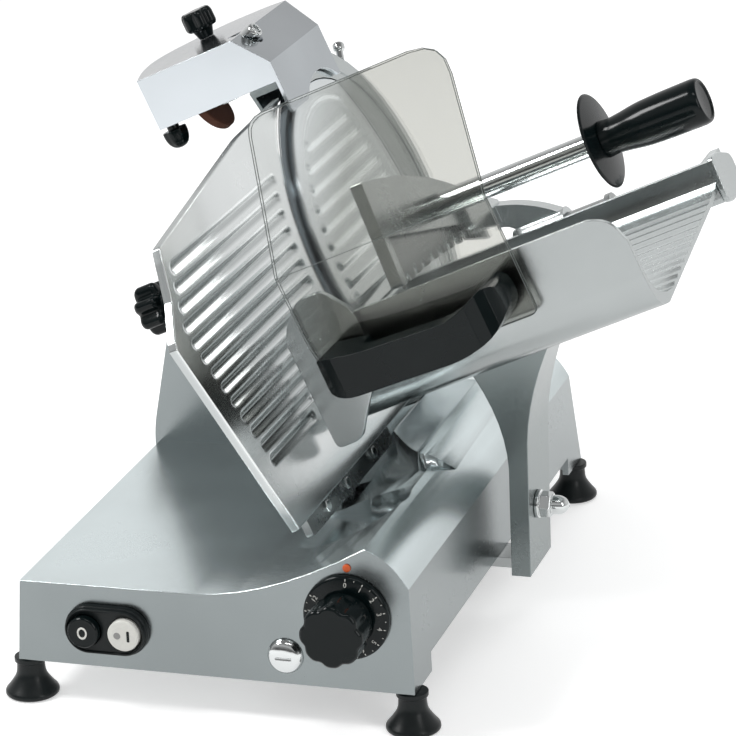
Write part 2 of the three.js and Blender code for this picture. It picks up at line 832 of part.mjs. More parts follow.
function fingerGuard() {
  const lower = prism(outline([
    [shieldLeft + 6, shieldLow], [shieldRight, shieldLow, 6], [shieldRight, shieldBend],
    [shieldLeft, shieldBend],
    [shieldLeft, shieldLow + 40, 12],
  ]), 'y', -shieldThickness, 0);
  const upper = prism(outline([
    [shieldLeft, 0], [shieldRight, 0], [shieldRight - 3, shieldTop, shieldCorner],
    [shieldLeft + 6, shieldTop, shieldCorner / 2],
  ]), 'y', -shieldThickness, 0);
  const leaned = upper.rotate([-THREE.MathUtils.radToDeg(shieldLean), 0, 0]).translate([0, 0, shieldBend]);
  const web = prism(outline([[-shieldThickness, shieldBend - 0.01], [0, shieldBend - 0.01], [0, shieldBend],
    [-shieldThickness * Math.cos(shieldLean), shieldBend + shieldThickness * Math.sin(shieldLean)],
  ]), 'x', shieldLeft, shieldRight);
  return join(lower, leaned, web);
}

const railCapThickness = 5;

function railCap() {
  return prism(outline([
    [bedRearU - 6, bedRearV - 16, 4], [bedRearU + 4, railFloorV - 9, 6],
    [bedRearU + railWidth, railFloorV - 9, 6],
    [bedRearU + railWidth + 2, railTopV - 8, 8], [bedRearU + 14, railTopV + 3, 8],
    [bedRearU - 3, railTopV + 3, 5],
  ]), 'x', trayHigh + seatGap, trayHigh + railCapThickness);
}

piece('tray', tray(), brushed, feed);
piece('tray_rail_cap', railCap(), plateMetal, feed);
piece('tray_bracket', trayBracket(), plateMetal, feed);
piece('tray_handle', trayHandle(), blackPlastic, feed);
piece('finger_guard', fingerGuard(), clear, feed).position.set(0, shieldFaceU + shieldThickness, 0);
piece('pusher_slide_rod', rod('x', slideRodRadius, trayLow + 1, trayHigh, slideRodU, slideRodV), polished,
  feed);

// Pusher: bush on the slide rod, swinging arm, plate with teeth, rod, hand guard and grip

function pusherBush() {
  const sleeve = rod('x', bushRadius, hubFrom - 4, bushTo, slideRodU, slideRodV);
  const collars = [[hubFrom - 5, hubFrom - runGap], [bushTo - 1, bushTo + 4]].map(([from, to]) => rod(
    'x', bushRadius + 2.5, from, to, slideRodU, slideRodV));
  const bore = rod('x', slideRodRadius + runGap, hubFrom - 8, bushTo + 8, slideRodU, slideRodV);
  return cut(join(sleeve, ...collars), bore);
}

const plateBack = pusherN + pusherThickness;

// The edge where the pusher plate ends and its toothed plate shows, at a place along u.
function seamV(u) {
  return 20 - 0.245 * (u - pusherFrontU);
}

function pusherArm() {
  const hub = rod('x', hubOuter, hubFrom, hubTo, slideRodU, slideRodV, roundSides);
  const wing = prism(outline([
    [plateBack + seatGap, -25], [116, -31, 8], [134, -40, 8], [hubTo, -52, 4], [hubTo, slideRodV],
    [hubFrom, slideRodV], [hubFrom, -50.5], [103, -46, 4], [plateBack + seatGap, -44],
  ]), 'y', slideRodU - 7, slideRodU + 7, 3);
  const pad = prism(outline([
    [-52, 6, 6], [slideRodU + 7, -25, 4], [slideRodU + 7, -44, 4], [-8, -38, 6], [-52, -26, 6],
  ]), 'x', plateBack + seatGap, plateBack + 6, 3);
  const bore = rod('x', bushRadius + runGap, hubFrom - 1, hubTo + 1, slideRodU, slideRodV);
  return cut(join(hub, wing, pad), bore);
}

function pusherPlate() {
  const rear = slideRodU + 8;
  const plate = prism(outline([
    [pusherFrontU, seamV(pusherFrontU)], [rear, seamV(rear)], [rear, -23, 6], [-47, 13, 40], [-89, 32, 30],
    [-135, 47, 40], [-172, 56, 20], [pusherFrontU + 8, 62, 5],
  ]), 'x', pusherN, plateBack);
  const strip = prism(outline([
    [pusherFrontU - 5, -19, 3], [pusherFrontU + 6, -19, 3], [pusherFrontU + 13, 61, 3],
    [pusherFrontU + 6, 64, 3],
  ]), 'x', plateBack - stripWidth, plateBack);
  return join(plate, strip);
}

function pusherTeeth() {
  const sheet = 2;
  const front = pusherN - seatGap - sheet;
  const left = pusherFrontU + 11.5;
  const right = -46;
  const pitch = (right - left) / toothCount;
  const corners = [[left, seamV(left) + 10], [left, -24]];
  for (let i = 0; i < toothCount; i += 1) {
    const tip = -22 - 11 * ((i + 0.5) / toothCount) ** 2;
    corners.push([left + (i + 0.35) * pitch, tip], [left + (i + 0.5) * pitch, tip]);
    corners.push([left + (i + 0.8) * pitch, tip + toothDepth], [left + (i + 1) * pitch, tip - 1]);
  }
  corners.push([2, -47], [2, seamV(2) + 10]);
  const comb = prism(outline(corners), 'x', front, front + sheet);
  const spikes = [];
  for (let i = 0; i < 6; i += 1) {
    const spike = new THREE.ConeGeometry(2.4, 7, 6);
    spike.rotateZ(Math.PI / 2);
    spike.translate(front - 3.4, left + 14 + i * 22, -2 - i * 4);
    spikes.push(solidOf(spike));
  }
  return join(comb, ...spikes);
}

const discThickness = 7;
const gripFrom = discN + discThickness + seatGap;
const gripSocket = 30;
const gripNeck = 14;

function pusherDisc() {
  return turned([
    [rodRadius + seatGap, discN], [discRadius - 3, discN + 2.5], [discRadius, discN + 3.5],
    [discRadius - 3, discN + 6], [rodRadius + seatGap, discN + discThickness],
  ], 'x', roundSides + 4);
}

function pusherGrip() {
  const profile = [[rodRadius + seatGap, gripFrom], [gripNeck + 1, gripFrom]];
  const steps = 5;
  for (let i = 0; i <= steps; i += 1) {
    const part = i / steps;
    const swell = (gripRadius - gripNeck) * Math.sin((Math.PI / 2) * part);
    profile.push([gripNeck + swell, gripFrom + 10 + (gripLength - 16) * part]);
  }
  profile.push([gripRadius - 2.5, gripFrom + gripLength], [0, gripFrom + gripLength],
    [0, gripFrom + gripSocket], [rodRadius + seatGap, gripFrom + gripSocket]);
  return turned(profile, 'x', midSides);
}

piece('pusher_bush', pusherBush(), steel, feed);
piece('pusher_arm', pusherArm(), brushed, feed);
piece('pusher_plate', pusherPlate(), plateMetal, feed);
piece('pusher_teeth', pusherTeeth(), steel, feed);
const pusherRod = rod('x', rodRadius, plateBack + seatGap, gripFrom + gripSocket - seatGap, rodU, rodV);
piece('pusher_rod', pusherRod, polished, feed);
piece('pusher_disc', pusherDisc(), blackPlastic, feed).position.set(0, rodU, rodV);
piece('pusher_grip', pusherGrip(), blackPlastic, feed).position.set(0, rodU, rodV);

// Gauge plate with its ribs, the foot under its lower edge and the carrier that slides in the base

const plateArc = bladeRadius + plateGap;

function plateOutline(inset) {
  const shape = new THREE.Shape();
  const topV = 128 - inset;
  const lowV = -131 + inset;
  const reach = plateArc + inset;
  const topAngle = Math.PI - Math.asin(topV / reach);
  const lowAngle = Math.PI + Math.asin(-lowV / reach);
  shape.moveTo(-361 + inset * 0.8, lowV);
  shape.lineTo(reach * Math.cos(lowAngle), lowV);
  shape.absarc(0, 0, reach, lowAngle, topAngle, true);
  shape.lineTo(-160, 124 - inset);
  shape.lineTo(-352 + inset / 2, 100 - inset);
  shape.quadraticCurveTo(-366 + inset, 98 - inset, -372 + inset, 88 - inset / 2);
  shape.lineTo(-386 + inset, 62);
  shape.lineTo(-409 + inset, 38);
  shape.quadraticCurveTo(-413 + inset, 33, -410 + inset, 26);
  shape.closePath();
  return shape;
}

// A rounded flute along u, from one end to the other at height v, which reaches a given depth below the face.
function flute(fromU, toU, v, width, depth, face) {
  const radius = (width * width) / (8 * depth) + depth / 2;
  const shape = new THREE.CapsuleGeometry(radius, toU - fromU - width, 2, smallSides);
  shape.rotateY(Math.PI / smallSides);
  shape.translate(face + radius - depth, (fromU + toU) / 2, v);
  return solidOf(shape);
}

function gaugePlate() {
  const plate = cut(
    prism(plateOutline(0), 'x', -plateThickness, 0, 10),
    prism(plateOutline(plateRim), 'x', -plateThickness - cutOver, plateHollow - plateThickness, 6),
  );
  const flutes = [];
  for (let i = 0; i < plateRibs; i += 1) {
    const v = plateRibTop - i * plateRibPitch;
    const slant = v > 36 ? -398 + (v - 36) * 0.55 : -398 + (36 - v) * 0.31;
    const arcSide = -Math.sqrt((plateArc + 12) ** 2 - v * v);
    const flatSide = v > -10 ? arcSide : arcSide - 28 + (v + 10) * 1.35;
    flutes.push(flute(slant + plateRim + 3, flatSide, v, plateRibWidth, plateRibDepth, 0));
  }
  return cut(plate, ...flutes);
}

function gaugeFoot() {
  const upright = prism(outline([
    [-330, footLowV, 3], [-128, footLowV, 3], [-128, footLowV + 22, 6], [-160, footLowV + 46, 6],
    [-292, footLowV + 46, 6], [-330, footLowV + 20, 6],
  ]), 'x', footFar, footNear);
  const shelf = box(footFar - footShelf, footFar + 1, carrierU - carrierWidth / 2,
    carrierU + carrierWidth / 2, footLowV, footLowV + 6);
  const screws = [-300, -250, -195, -145].map((u) => rod('x', 4.5, footFar - 3, footFar + 1, u,
    footLowV + 12, 6));
  return join(upright, shelf, ...screws);
}

const deckUnder = -157.5;
const blockTop = deckUnder - 1.5;
const blockLow = blockTop - 17;
const railV = (blockTop + blockLow) / 2;
const gaugeRailRadius = 4;
const gaugeRailSpacing = 17;
const fingerU = camY + camWidth / 2 - bladeY;

function gaugeCarrier() {
  const [neckNear, neckFar] = [carrierU - neckWidth / 2, carrierU + neckWidth / 2];
  const [near, far] = [carrierU - carrierWidth / 2, carrierU + carrierWidth / 2];
  const neck = box(footFar - 26, footFar - 6, neckNear, neckFar, blockTop - 1, footLowV - seatGap);
  const block = box(footFar - footShelf, footFar + 2, near, far, blockLow, blockTop);
  const camFeedX = feedX(dialX, dialZ);
  const camFeedZ = feedZ(dialX, dialZ);
  const fingerTip = camFeedX - camLow - seatGap;
  const finger = join(
    box(footFar, fingerTip, far - cutOver, fingerU + camWidth / 2, blockTop - 12, blockTop),
    box(fingerTip - 6, fingerTip, fingerU - camWidth / 2, fingerU + camWidth / 2, camFeedZ - 2.5, blockTop),
  );
  const bores = [-1, 1].map((sideOf) => rod('x', gaugeRailRadius + runGap, footFar - 40, footFar + 20,
    carrierU + sideOf * gaugeRailSpacing, railV));
  return cut(join(neck, block, finger), ...bores);
}

const gaugeRailFrom = footFar - footShelf - plateTravel - 6;
const gaugeRailTo = footFar + 8;

function gaugeRails() {
  const ends = [gaugeRailFrom - 6, gaugeRailTo - 2];
  const rails = [-1, 1].map((sideOf) => rod('x', gaugeRailRadius, gaugeRailFrom - 4, gaugeRailTo + 2,
    carrierU + sideOf * gaugeRailSpacing, railV));
  const yokes = ends.map((n) => box(n, n + 6, carrierU - 26, carrierU + 26, railV - 7,
    deckUnder - seatGap - 0.4));
  return join(...rails, ...yokes);
}

piece('gauge_plate', gaugePlate(), plateMetal, feed);
piece('gauge_foot', gaugeFoot(), steel, feed);
piece('gauge_carrier', gaugeCarrier(), steel, feed);
piece('gauge_rails', gaugeRails(), steel, feed);

// Blade, its drive, the ring guard and the blade cover

function blade() {
  const flat = bladeRadius - bladeRim;
  return turned([
    [shaftRadius + 2, -bladeThickness], [bladeRadius - bladeBevel, -bladeThickness], [bladeRadius, -0.6],
    [bladeRadius, -0.2], [flat, -0.2], [flat - 2.5, -bladeRecess], [shaftRadius + 2, -bladeRecess],
  ], 'x', wideSides);
}

function bladeShaft() {
  const hubFront = -bladeThickness - seatGap;
  return turned([
    [shaftBore, shaftRear], [shaftRadius, shaftRear], [shaftRadius, hubFront - hubFlange],
    [hubRadius, hubFront - hubFlange], [hubRadius, hubFront], [shaftRadius + 1.5, hubFront],
    [shaftRadius + 1.5, -bladeRecess], [shaftBore, -bladeRecess],
  ], 'x', midSides);
}

function bearingHousing() {
  const flangeNear = towerFace - towerWall - seatGap;
  return turned([
    [bearingRadius, housingRear], [housingRadius, housingRear], [housingRadius, flangeNear - 6],
    [housingFlange, flangeNear - 6], [housingFlange, flangeNear], [housingRadius, flangeNear],
    [housingRadius, towerFace + 2], [bearingRadius, towerFace + 2],
  ], 'x', midSides);
}

function bearing(from, to) {
  return turned([
    [shaftRadius + seatGap, from], [bearingRadius - seatGap, from],
    [bearingRadius - seatGap, to], [shaftRadius + seatGap, to],
  ], 'x', midSides);
}

function pulley(radius, bore, from) {
  const profile = [[bore, from], [radius, from]];
  const pitch = pulleyWidth / pulleyGrooves;
  for (let i = 0; i < pulleyGrooves; i += 1) {
    if (i > 0) profile.push([radius, from + i * pitch]);
    profile.push([radius - 1.4, from + (i + 0.5) * pitch]);
  }
  profile.push([radius, from + pulleyWidth], [bore, from + pulleyWidth]);
  return turned(profile, 'x', midSides);
}

const pulleyFrom = pulleyFront - pulleyWidth;

// The belt's outline: the hull of two circles that are grown by a given margin.
function beltOutline(margin) {
  const big = pulleyRadius + margin;
  const small = motorPulleyRadius + margin;
  const reach = Math.hypot(motorU, motorV);
  const heading = Math.atan2(motorV, motorU);
  const spread = Math.acos((big - small) / reach);
  const corners = [];
  const steps = smallSides + 2;
  for (let i = 0; i <= steps; i += 1) {
    const angle = heading + spread + ((2 * Math.PI - 2 * spread) * i) / steps;
    corners.push([big * Math.cos(angle), big * Math.sin(angle)]);
  }
  for (let i = 0; i <= steps; i += 1) {
    const angle = heading - spread + (2 * spread * i) / steps;
    corners.push([motorU + small * Math.cos(angle), motorV + small * Math.sin(angle)]);
  }
  return outline(corners);
}

function driveBelt() {
  const from = pulleyFrom + 0.5;
  const to = pulleyFront - 0.5;
  return cut(
    prism(beltOutline(runGap + beltThickness), 'x', from, to),
    prism(beltOutline(runGap), 'x', from - 1, to + 1),
  );
}

const motorFront = housingRear - pulleyWidth - 9.5 - seatGap;

function motor() {
  return turned([
    [0, motorFront - motorLength], [motorRadius - 12, motorFront - motorLength],
    [motorRadius, motorFront - motorLength + 10], [motorRadius, motorFront - 16],
    [motorRadius - 3, motorFront - 14], [motorRadius - 6, motorFront], [0, motorFront],
  ], 'x', midSides);
}

function motorShaft() {
  return join(
    pulley(motorPulleyRadius, motorShaftRadius - 2, pulleyFrom),
    rod('x', motorShaftRadius - 1, motorFront + seatGap, pulleyFront, 0, 0),
  );
}

function coverOutline(grow) {
  const big = coverRadius + grow;
  const back = coverBackRadius + grow;
  const disc = rod('x', big, coverBack - 5, 20, 0, 0, wideSides);
  return disc.intersect(rod('x', back, coverBack - 6, 21, coverBackU, coverBackV, wideSides));
}

function bladeCover() {
  const floor = coverFront - coverDish;
  const slab = coverOutline(0).intersect(box(coverBack, coverFront, -200, 200, -200, 200));
  const dish = coverOutline(-coverRim).intersect(box(floor, coverFront + 2, -200, 200, -200, 200));
  const ribs = [];
  for (let i = 0; i < coverRibs; i += 1) {
    const v = coverRibTop - i * coverRibPitch;
    const inner = coverRadius - coverRim - 2;
    const left = -Math.sqrt(Math.max(inner ** 2 - v ** 2, 100));
    const right = coverBackU + Math.sqrt((coverBackRadius - coverRim - 4) ** 2 - (v - coverBackV) ** 2);
    const ridge = flute(left, Math.min(right, -left), v, coverRibWidth, coverRibHeight, 0);
    ribs.push(ridge.mirror([1, 0, 0]).translate([floor, 0, 0]));
  }
  const raised = join(...ribs).intersect(box(floor - cutOver, coverFront + cutOver, -200, 200, -200, 200));
  const boss = rod('x', 14, coverBack, coverFront - 0.5, 0, 0, roundSides);
  const bore = rod('x', tieRodRadius + seatGap, -20, coverFront - 2.4, 0, 0);
  return cut(join(cut(slab, dish), raised, boss), bore);
}

// The ring guard: a channel round the blade's edge and a crescent face beside the blade cover.
function ringGuard() {
  const sector = [[0, 0]];
  const steps = 24;
  for (let i = 0; i <= steps; i += 1) {
    const angle = deg(guardLowAngle + ((guardTopAngle - guardLowAngle) * i) / steps);
    sector.push([400 * Math.cos(angle), 400 * Math.sin(angle)]);
  }
  const wedge = prism(outline(sector), 'x', towerFace - 10, 20);
  const inner = guardOuter - guardWall;
  const back = towerFace + seatGap;
  const channel = turned([
    [inner - 22, back], [guardOuter - 3, back], [guardOuter, back + 3], [guardOuter, guardFront - 3],
    [guardOuter - 3, guardFront], [inner - 9, guardFront], [inner - 9, 1], [inner, 1], [inner, back + 3],
    [inner - 22, back + 3],
  ], 'x', wideSides);
  const crescent = cut(rod('x', inner, 1, guardFront - 1, 0, 0, wideSides), coverOutline(0.8));
  return join(channel, crescent).intersect(wedge).intersect(box(-60, 60, -58, 200, -200, 200));
}

function tieRod() {
  return rod('x', tieRodRadius, tieKnobNear - 6, coverFront - 2.4 - seatGap, 0, 0, smallSides);
}

function tieKnob() {
  const grip = prism(lobed(tieKnobRadius, 7, 5, 35), 'x', tieKnobNear - tieKnobLength, tieKnobNear);
  const neck = turned([
    [0, tieKnobNear - 1], [14, tieKnobNear - 1], [10, tieBossEnd - seatGap], [0, tieBossEnd - seatGap],
  ], 'x', midSides);
  const bore = rod('x', tieRodRadius + seatGap, tieKnobNear - 6 - seatGap, tieBossEnd + 1, 0, 0, smallSides);
  return cut(join(grip, neck), bore);
}

function sliceDeflector() {
  const outer = 128;
  const inner = 125;
  const sector = [[0, 0]];
  for (let i = 0; i <= 12; i += 1) {
    const angle = deg(150 + 5 * i);
    sector.push([200 * Math.cos(angle), 200 * Math.sin(angle)]);
  }
  const wedge = prism(outline(sector), 'x', towerFace - 1, 0);
  const fence = cut(
    rod('x', outer, towerFace + seatGap, -bladeThickness - 2, 0, 0, wideSides),
    rod('x', inner, towerFace - 1, 0, 0, 0, wideSides),
  );
  const tab = cut(
    rod('x', outer, towerFace + seatGap, towerFace + 3, 0, 0, wideSides),
    rod('x', inner - 33, towerFace - 1, 0, 0, 0, wideSides),
  );
  return join(fence, tab).intersect(wedge);
}

piece('blade', blade(), polished, feed);
piece('blade_shaft', bladeShaft(), steel, feed);
piece('bearing_housing', bearingHousing(), brushed, feed);
piece('bearing_front', bearing(towerFace - 14, towerFace - 3), steel, feed);
piece('bearing_rear', bearing(housingRear + 2, housingRear + 13), steel, feed);
piece('blade_pulley', pulley(pulleyRadius, shaftRadius + seatGap, pulleyFrom), steel, feed);
piece('drive_belt', driveBelt(), rubber, feed);
piece('motor', motor(), paint, feed).position.set(0, motorU, motorV);
piece('motor_shaft', motorShaft(), steel, feed).position.set(0, motorU, motorV);
piece('ring_guard', ringGuard(), plateMetal, feed);
piece('blade_cover', bladeCover(), plateMetal, feed);
piece('tie_rod', tieRod(), steel, feed);
piece('tie_knob', tieKnob(), blackPlastic, feed);
piece('slice_deflector', sliceDeflector(), steel, feed);

// Sharpener: frame on the ring guard, sheet housing, grinding and honing wheels, spindle and knobs

const wheelLean = deg(20);
const wheelN = -66;
const wheelU = -36;
const wheelV = 140;
const honingRadius = 14;
const honingN = -70;
const honingU = 50;
const honingV = 158;
const pinN = -25;
const pinU = -34;
const pinV = 174;
const pinRadius = 7.5;
const pinStemRadius = 4;
const pinProud = 24;
const clampStud = 4;
const axleRadius = 3;
const frameLow = guardOuter + seatGap;
const lowerKnobN = -96;
const lowerKnobU = -53;
const clampN = -80;
const clampU = 46;
const clampDepth = 8;
const clampKnobRadius = 14;
const lowerKnobRadius = 10.5;
const roofUnder = sharpRoofV - sharpSheet;

function leaned(solid, n, u, v) {
  return solid.rotate([0, -THREE.MathUtils.radToDeg(wheelLean), 0]).translate([n, u, v]);
}

function sharpenerSection(inset, wallLow) {
  const left = sharpLeft - sharpBulge + inset;
  return outline([
    [left, wallLow], [left, sharpRoofV - inset], [sharpRoofEnd - inset * 0.4, sharpRoofV - inset],
    [sharpRight - inset, sharpShoulderV - inset * 0.5], [sharpRight - inset, wallLow],
  ]);
}

// The housing from above: straight in front and at its right side, with a swept rear left corner.
function sharpenerPlan(inset) {
  const left = sharpLeft + inset;
  return outline([
    [left, sharpFrontU + inset], [sharpRight - inset, sharpFrontU + inset],
    [sharpRight - inset, sharpRearU - inset],
    [sharpRoofEnd - 18, sharpRearU + 26 - inset, 12], [left + 24, sharpRearU + 34 - inset, 24],
    [left - sharpBulge, sharpRearU - 4, 40], [left - sharpBulge * 0.8, 0, 30],
  ]);
}

function sharpenerHousing() {
  const wallLow = sharpHemV - sharpSkirt;
  const outer = prism(sharpenerSection(0, wallLow), 'y', sharpFrontU, sharpRearU + 40)
    .intersect(prism(sharpenerPlan(0), 'z', wallLow - cutOver, sharpRoofV + cutOver));
  const inner = prism(sharpenerSection(sharpSheet, wallLow - 2 * cutOver), 'y', sharpFrontU, sharpRearU + 40)
    .intersect(prism(sharpenerPlan(sharpSheet), 'z', wallLow - 3 * cutOver, sharpRoofV + cutOver));
  const skirt = box(sharpLeft - sharpBulge - cutOver, sharpRight - sharpSheet, sharpFrontU - cutOver,
    sharpRearU + 40, wallLow - cutOver, sharpHemV);
  const notch = rod('x', sharpNotch, sharpRight - 8, sharpRight + 3, 13, sharpHemV - 13 - sharpNotch,
    wideSides);
  const pinHole = leaned(rod('x', pinRadius + 3, -8, 20, 0, 0), pinN, pinU, pinV);
  const clampHole = rod('z', clampStud + 0.6, roofUnder - 2, sharpRoofV + 2, clampN, clampU);
  const knobBoss = rod('z', 5, sharpHemV + 2, roofUnder + 1, lowerKnobN, lowerKnobU);
  return cut(join(cut(outer, inner, skirt), knobBoss), notch, pinHole, clampHole);
}

function sharpenerFrame() {
  const top = roofUnder - seatGap;
  const foot = box(-25, 1, -8, 34, frameLow, frameLow + 8);
  const body = box(-84, -18, -6, 32, frameLow + 6, top);
  const hanger = box(-52, -40, wheelU - 8, -5, wheelV - 2, top);
  const rearEar = box(-62, -44, 30, honingU + 6, frameLow + 8, top);
  const grindingAxle = leaned(rod('x', axleRadius, -6, 20, 0, 0, smallSides), wheelN, wheelU, wheelV);
  const honingAxle = leaned(rod('x', axleRadius, -6, 14, 0, 0, smallSides), honingN, honingU, honingV);
  const bore = leaned(rod('x', pinStemRadius + runGap, -40, 20, 0, 0, smallSides), pinN, pinU, pinV);
  const lug = box(clampN - 9, clampN + 9, 24, clampU + 9, roofUnder - clampDepth + 0.5, top);
  const clampBore = rod('z', clampStud + seatGap, roofUnder - 24, roofUnder + 5, clampN, clampU, smallSides);
  return cut(join(foot, body, hanger, rearEar, lug, grindingAxle, honingAxle), bore, clampBore);
}

function pushPin() {
  const stem = rod('x', pinStemRadius, -32, 3, 0, 0, smallSides);
  const cap = turned([
    [0, 2], [pinRadius, 2], [pinRadius, pinProud - 3], [pinRadius - 1, pinProud - 1], [4, pinProud],
    [0, pinProud],
  ], 'x', midSides);
  return leaned(join(stem, cap), 0, 0, 0);
}

function wheel(radius, bore) {
  return leaned(cut(
    turned([[0, -wheelThickness / 2], [radius - 2, -wheelThickness / 2], [radius, -wheelThickness / 2 + 2],
      [radius, wheelThickness / 2], [0, wheelThickness / 2]], 'x', roundSides),
    rod('x', bore, -wheelThickness, wheelThickness, 0, 0, smallSides),
  ), 0, 0, 0);
}

function clampKnob() {
  const near = sharpRoofV + 8;
  const grip = prism(lobed(clampKnobRadius, 6, 3, 30), 'z', near, near + 16);
  const neck = turned([
    [0, sharpRoofV + seatGap], [6, sharpRoofV + seatGap], [9, near + 0.5], [0, near + 0.5],
  ], 'z', midSides);
  return join(grip, neck, rod('z', clampStud, roofUnder - clampDepth, sharpRoofV + cutOver, 0, 0,
    smallSides));
}

function lowerKnob() {
  const top = sharpHemV + 2 - seatGap;
  const grip = turned([
    [0, top - 22], [5, top - 21], [9, top - 17], [lowerKnobRadius, top - 11], [lowerKnobRadius, top - 6],
    [0, top - 6],
  ], 'z', smallSides);
  return join(grip, rod('z', 5, top - 6.5, top, 0, 0, smallSides));
}

const studAngle = 37;

function ringStud() {
  const profile = [[0, 0], [3, 0], [3, 8], [5, 10], [5, 15], [0, 16]];
  const standing = profile.map(([radius, rise]) => [radius, guardOuter + seatGap + rise]);
  return turned(standing, 'z', smallSides).rotate([-studAngle, 0, 0]);
}

piece('sharpener_housing', sharpenerHousing(), polished, feed);
piece('sharpener_frame', sharpenerFrame(), steel, feed);
piece('push_pin', pushPin(), polished, feed).position.set(pinN, pinU, pinV);
const axleBore = axleRadius + runGap;
piece('grinding_wheel', wheel(wheelRadius, axleBore), stone, feed).position.set(wheelN, wheelU, wheelV);
piece('honing_wheel', wheel(honingRadius, axleBore), stone, feed).position.set(honingN, honingU, honingV);
piece('clamp_knob', clampKnob(), blackPlastic, feed).position.set(clampN, clampU, 0);
piece('lower_knob', lowerKnob(), blackPlastic, feed).position.set(lowerKnobN, lowerKnobU, 0);
piece('ring_stud', ringStud(), polished, feed);

// Cable gland in the rear wall

function cableGland() {
  return turned([[3.5, -2], [11, -2], [11, 5], [8, 8], [8, 20], [3.5, 20]], 'y', smallSides);
}

const glandX = 60;
const glandZ = 70;
piece('cable_gland', cableGland(), blackPlastic).position.set(glandX, rearY(glandZ) + 6, glandZ);

// The origin is on the table, under the middle of the machine.
const bounds = new THREE.Box3().setFromObject(machine, true);
const middle = bounds.getCenter(new THREE.Vector3());
machine.position.set(-middle.x, -middle.y, -bounds.min.z);

export default machine;
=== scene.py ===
"""Gravity-feed meat slicer with an electric blade: finishes, fine shapes and a plain studio.

Places are in millimetres of the machine frame (X right, Y rear, zero under the front left corner) or of the
feed frame (N along the blade's axis and up the tray, U to the rear, V up the blade), and are turned into the
row frame's metres by the class Places.
"""

import json
import logging
import math
from dataclasses import dataclass
from enum import Enum
from typing import Callable, Sequence

import bmesh
import bpy
import numpy as np
from mathutils import Matrix, Vector

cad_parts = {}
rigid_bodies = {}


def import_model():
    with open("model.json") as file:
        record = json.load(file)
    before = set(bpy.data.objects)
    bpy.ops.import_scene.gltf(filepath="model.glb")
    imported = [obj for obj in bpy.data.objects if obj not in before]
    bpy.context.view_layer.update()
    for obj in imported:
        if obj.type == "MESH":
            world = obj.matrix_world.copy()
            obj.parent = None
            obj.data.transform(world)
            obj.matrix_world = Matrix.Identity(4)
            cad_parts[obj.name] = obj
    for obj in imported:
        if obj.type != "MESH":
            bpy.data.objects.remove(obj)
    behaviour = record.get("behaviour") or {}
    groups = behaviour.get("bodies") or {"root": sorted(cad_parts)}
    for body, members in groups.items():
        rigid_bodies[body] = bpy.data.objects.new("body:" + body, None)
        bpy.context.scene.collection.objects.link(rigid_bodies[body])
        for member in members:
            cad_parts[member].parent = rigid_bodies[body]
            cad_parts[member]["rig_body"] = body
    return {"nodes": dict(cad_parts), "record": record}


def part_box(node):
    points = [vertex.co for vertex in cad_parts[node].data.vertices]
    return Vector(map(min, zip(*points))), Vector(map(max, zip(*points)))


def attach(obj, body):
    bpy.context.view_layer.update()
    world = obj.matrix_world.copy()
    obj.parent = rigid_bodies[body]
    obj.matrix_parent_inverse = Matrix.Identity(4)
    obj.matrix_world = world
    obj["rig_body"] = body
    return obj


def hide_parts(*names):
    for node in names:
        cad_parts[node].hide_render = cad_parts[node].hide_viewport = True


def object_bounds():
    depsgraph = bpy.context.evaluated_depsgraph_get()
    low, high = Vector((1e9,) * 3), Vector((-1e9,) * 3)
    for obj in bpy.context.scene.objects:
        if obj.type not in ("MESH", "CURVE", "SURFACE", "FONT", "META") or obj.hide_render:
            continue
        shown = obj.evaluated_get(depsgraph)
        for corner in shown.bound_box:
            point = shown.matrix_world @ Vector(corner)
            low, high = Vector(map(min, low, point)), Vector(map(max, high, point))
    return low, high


log = logging.getLogger("slicer")

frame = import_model()
cad_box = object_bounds()

Pair = tuple[float, float]
Triple = tuple[float, float, float]
Array = np.ndarray
Wave = Callable[[np.ndarray], np.ndarray]
Shape = bmesh.types.BMesh
Mesh = bpy.types.Mesh
Material = bpy.types.Material
Socket = bpy.types.NodeSocket

FOOT_SPOT = (5.0, 10.0)
FEED_TILT = math.radians(24.0)
BLADE_CENTRE = (155.0, 404.0, 253.0)
SLIDE_ROD_SPOT = (0.0, 15.0, -64.0)
SAME_SPOT = 2e-6
SAME_LEVEL = 1e-5
SHARP = 32.0


class Body(Enum):
    """The bodies of pieces that have no solid of their own."""

    CARRIAGE = "carriage"
    GAUGE = "gauge"
    DIAL = "dial"
    STOP = "stop_push"
    START = "start_push"


class Places:
    """Turns machine and feed millimetres into the row frame's metres."""

    def __init__(self) -> None:
        """Finds the machine frame's zero from the front left foot."""
        low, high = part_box("foot_front_left")
        centre = (low + high) / 2
        self.zero = np.array([centre.x - FOOT_SPOT[0] / 1000, centre.y - FOOT_SPOT[1] / 1000, 0.0])
        self.along = np.array([math.cos(FEED_TILT), 0.0, math.sin(FEED_TILT)])
        self.rear = np.array([0.0, 1.0, 0.0])
        self.up = np.array([-math.sin(FEED_TILT), 0.0, math.cos(FEED_TILT)])

    def machine(self, points: Array) -> Array:
        """Machine millimetres, X, Y, Z on the last axis, to metres."""
        return np.asarray(points, float) / 1000 + self.zero

    def feed(self, points: Array) -> Array:
        """Feed millimetres to metres.

        Args:
            points: an array whose last axis is N, U, V.

        Returns:
            The same points in the row frame.
        """
        p = np.asarray(points, float)
        leant = p[..., :1] * self.along + p[..., 1:2] * self.rear + p[..., 2:3] * self.up
        return self.machine(leant + np.array(BLADE_CENTRE))


places = Places()


def linked(name: str, data: bpy.types.ID) -> bpy.types.Object:
    """A new object in the scene."""
    thing = bpy.data.objects.new(name, data)
    bpy.context.scene.collection.objects.link(thing)
    return thing


# Materials

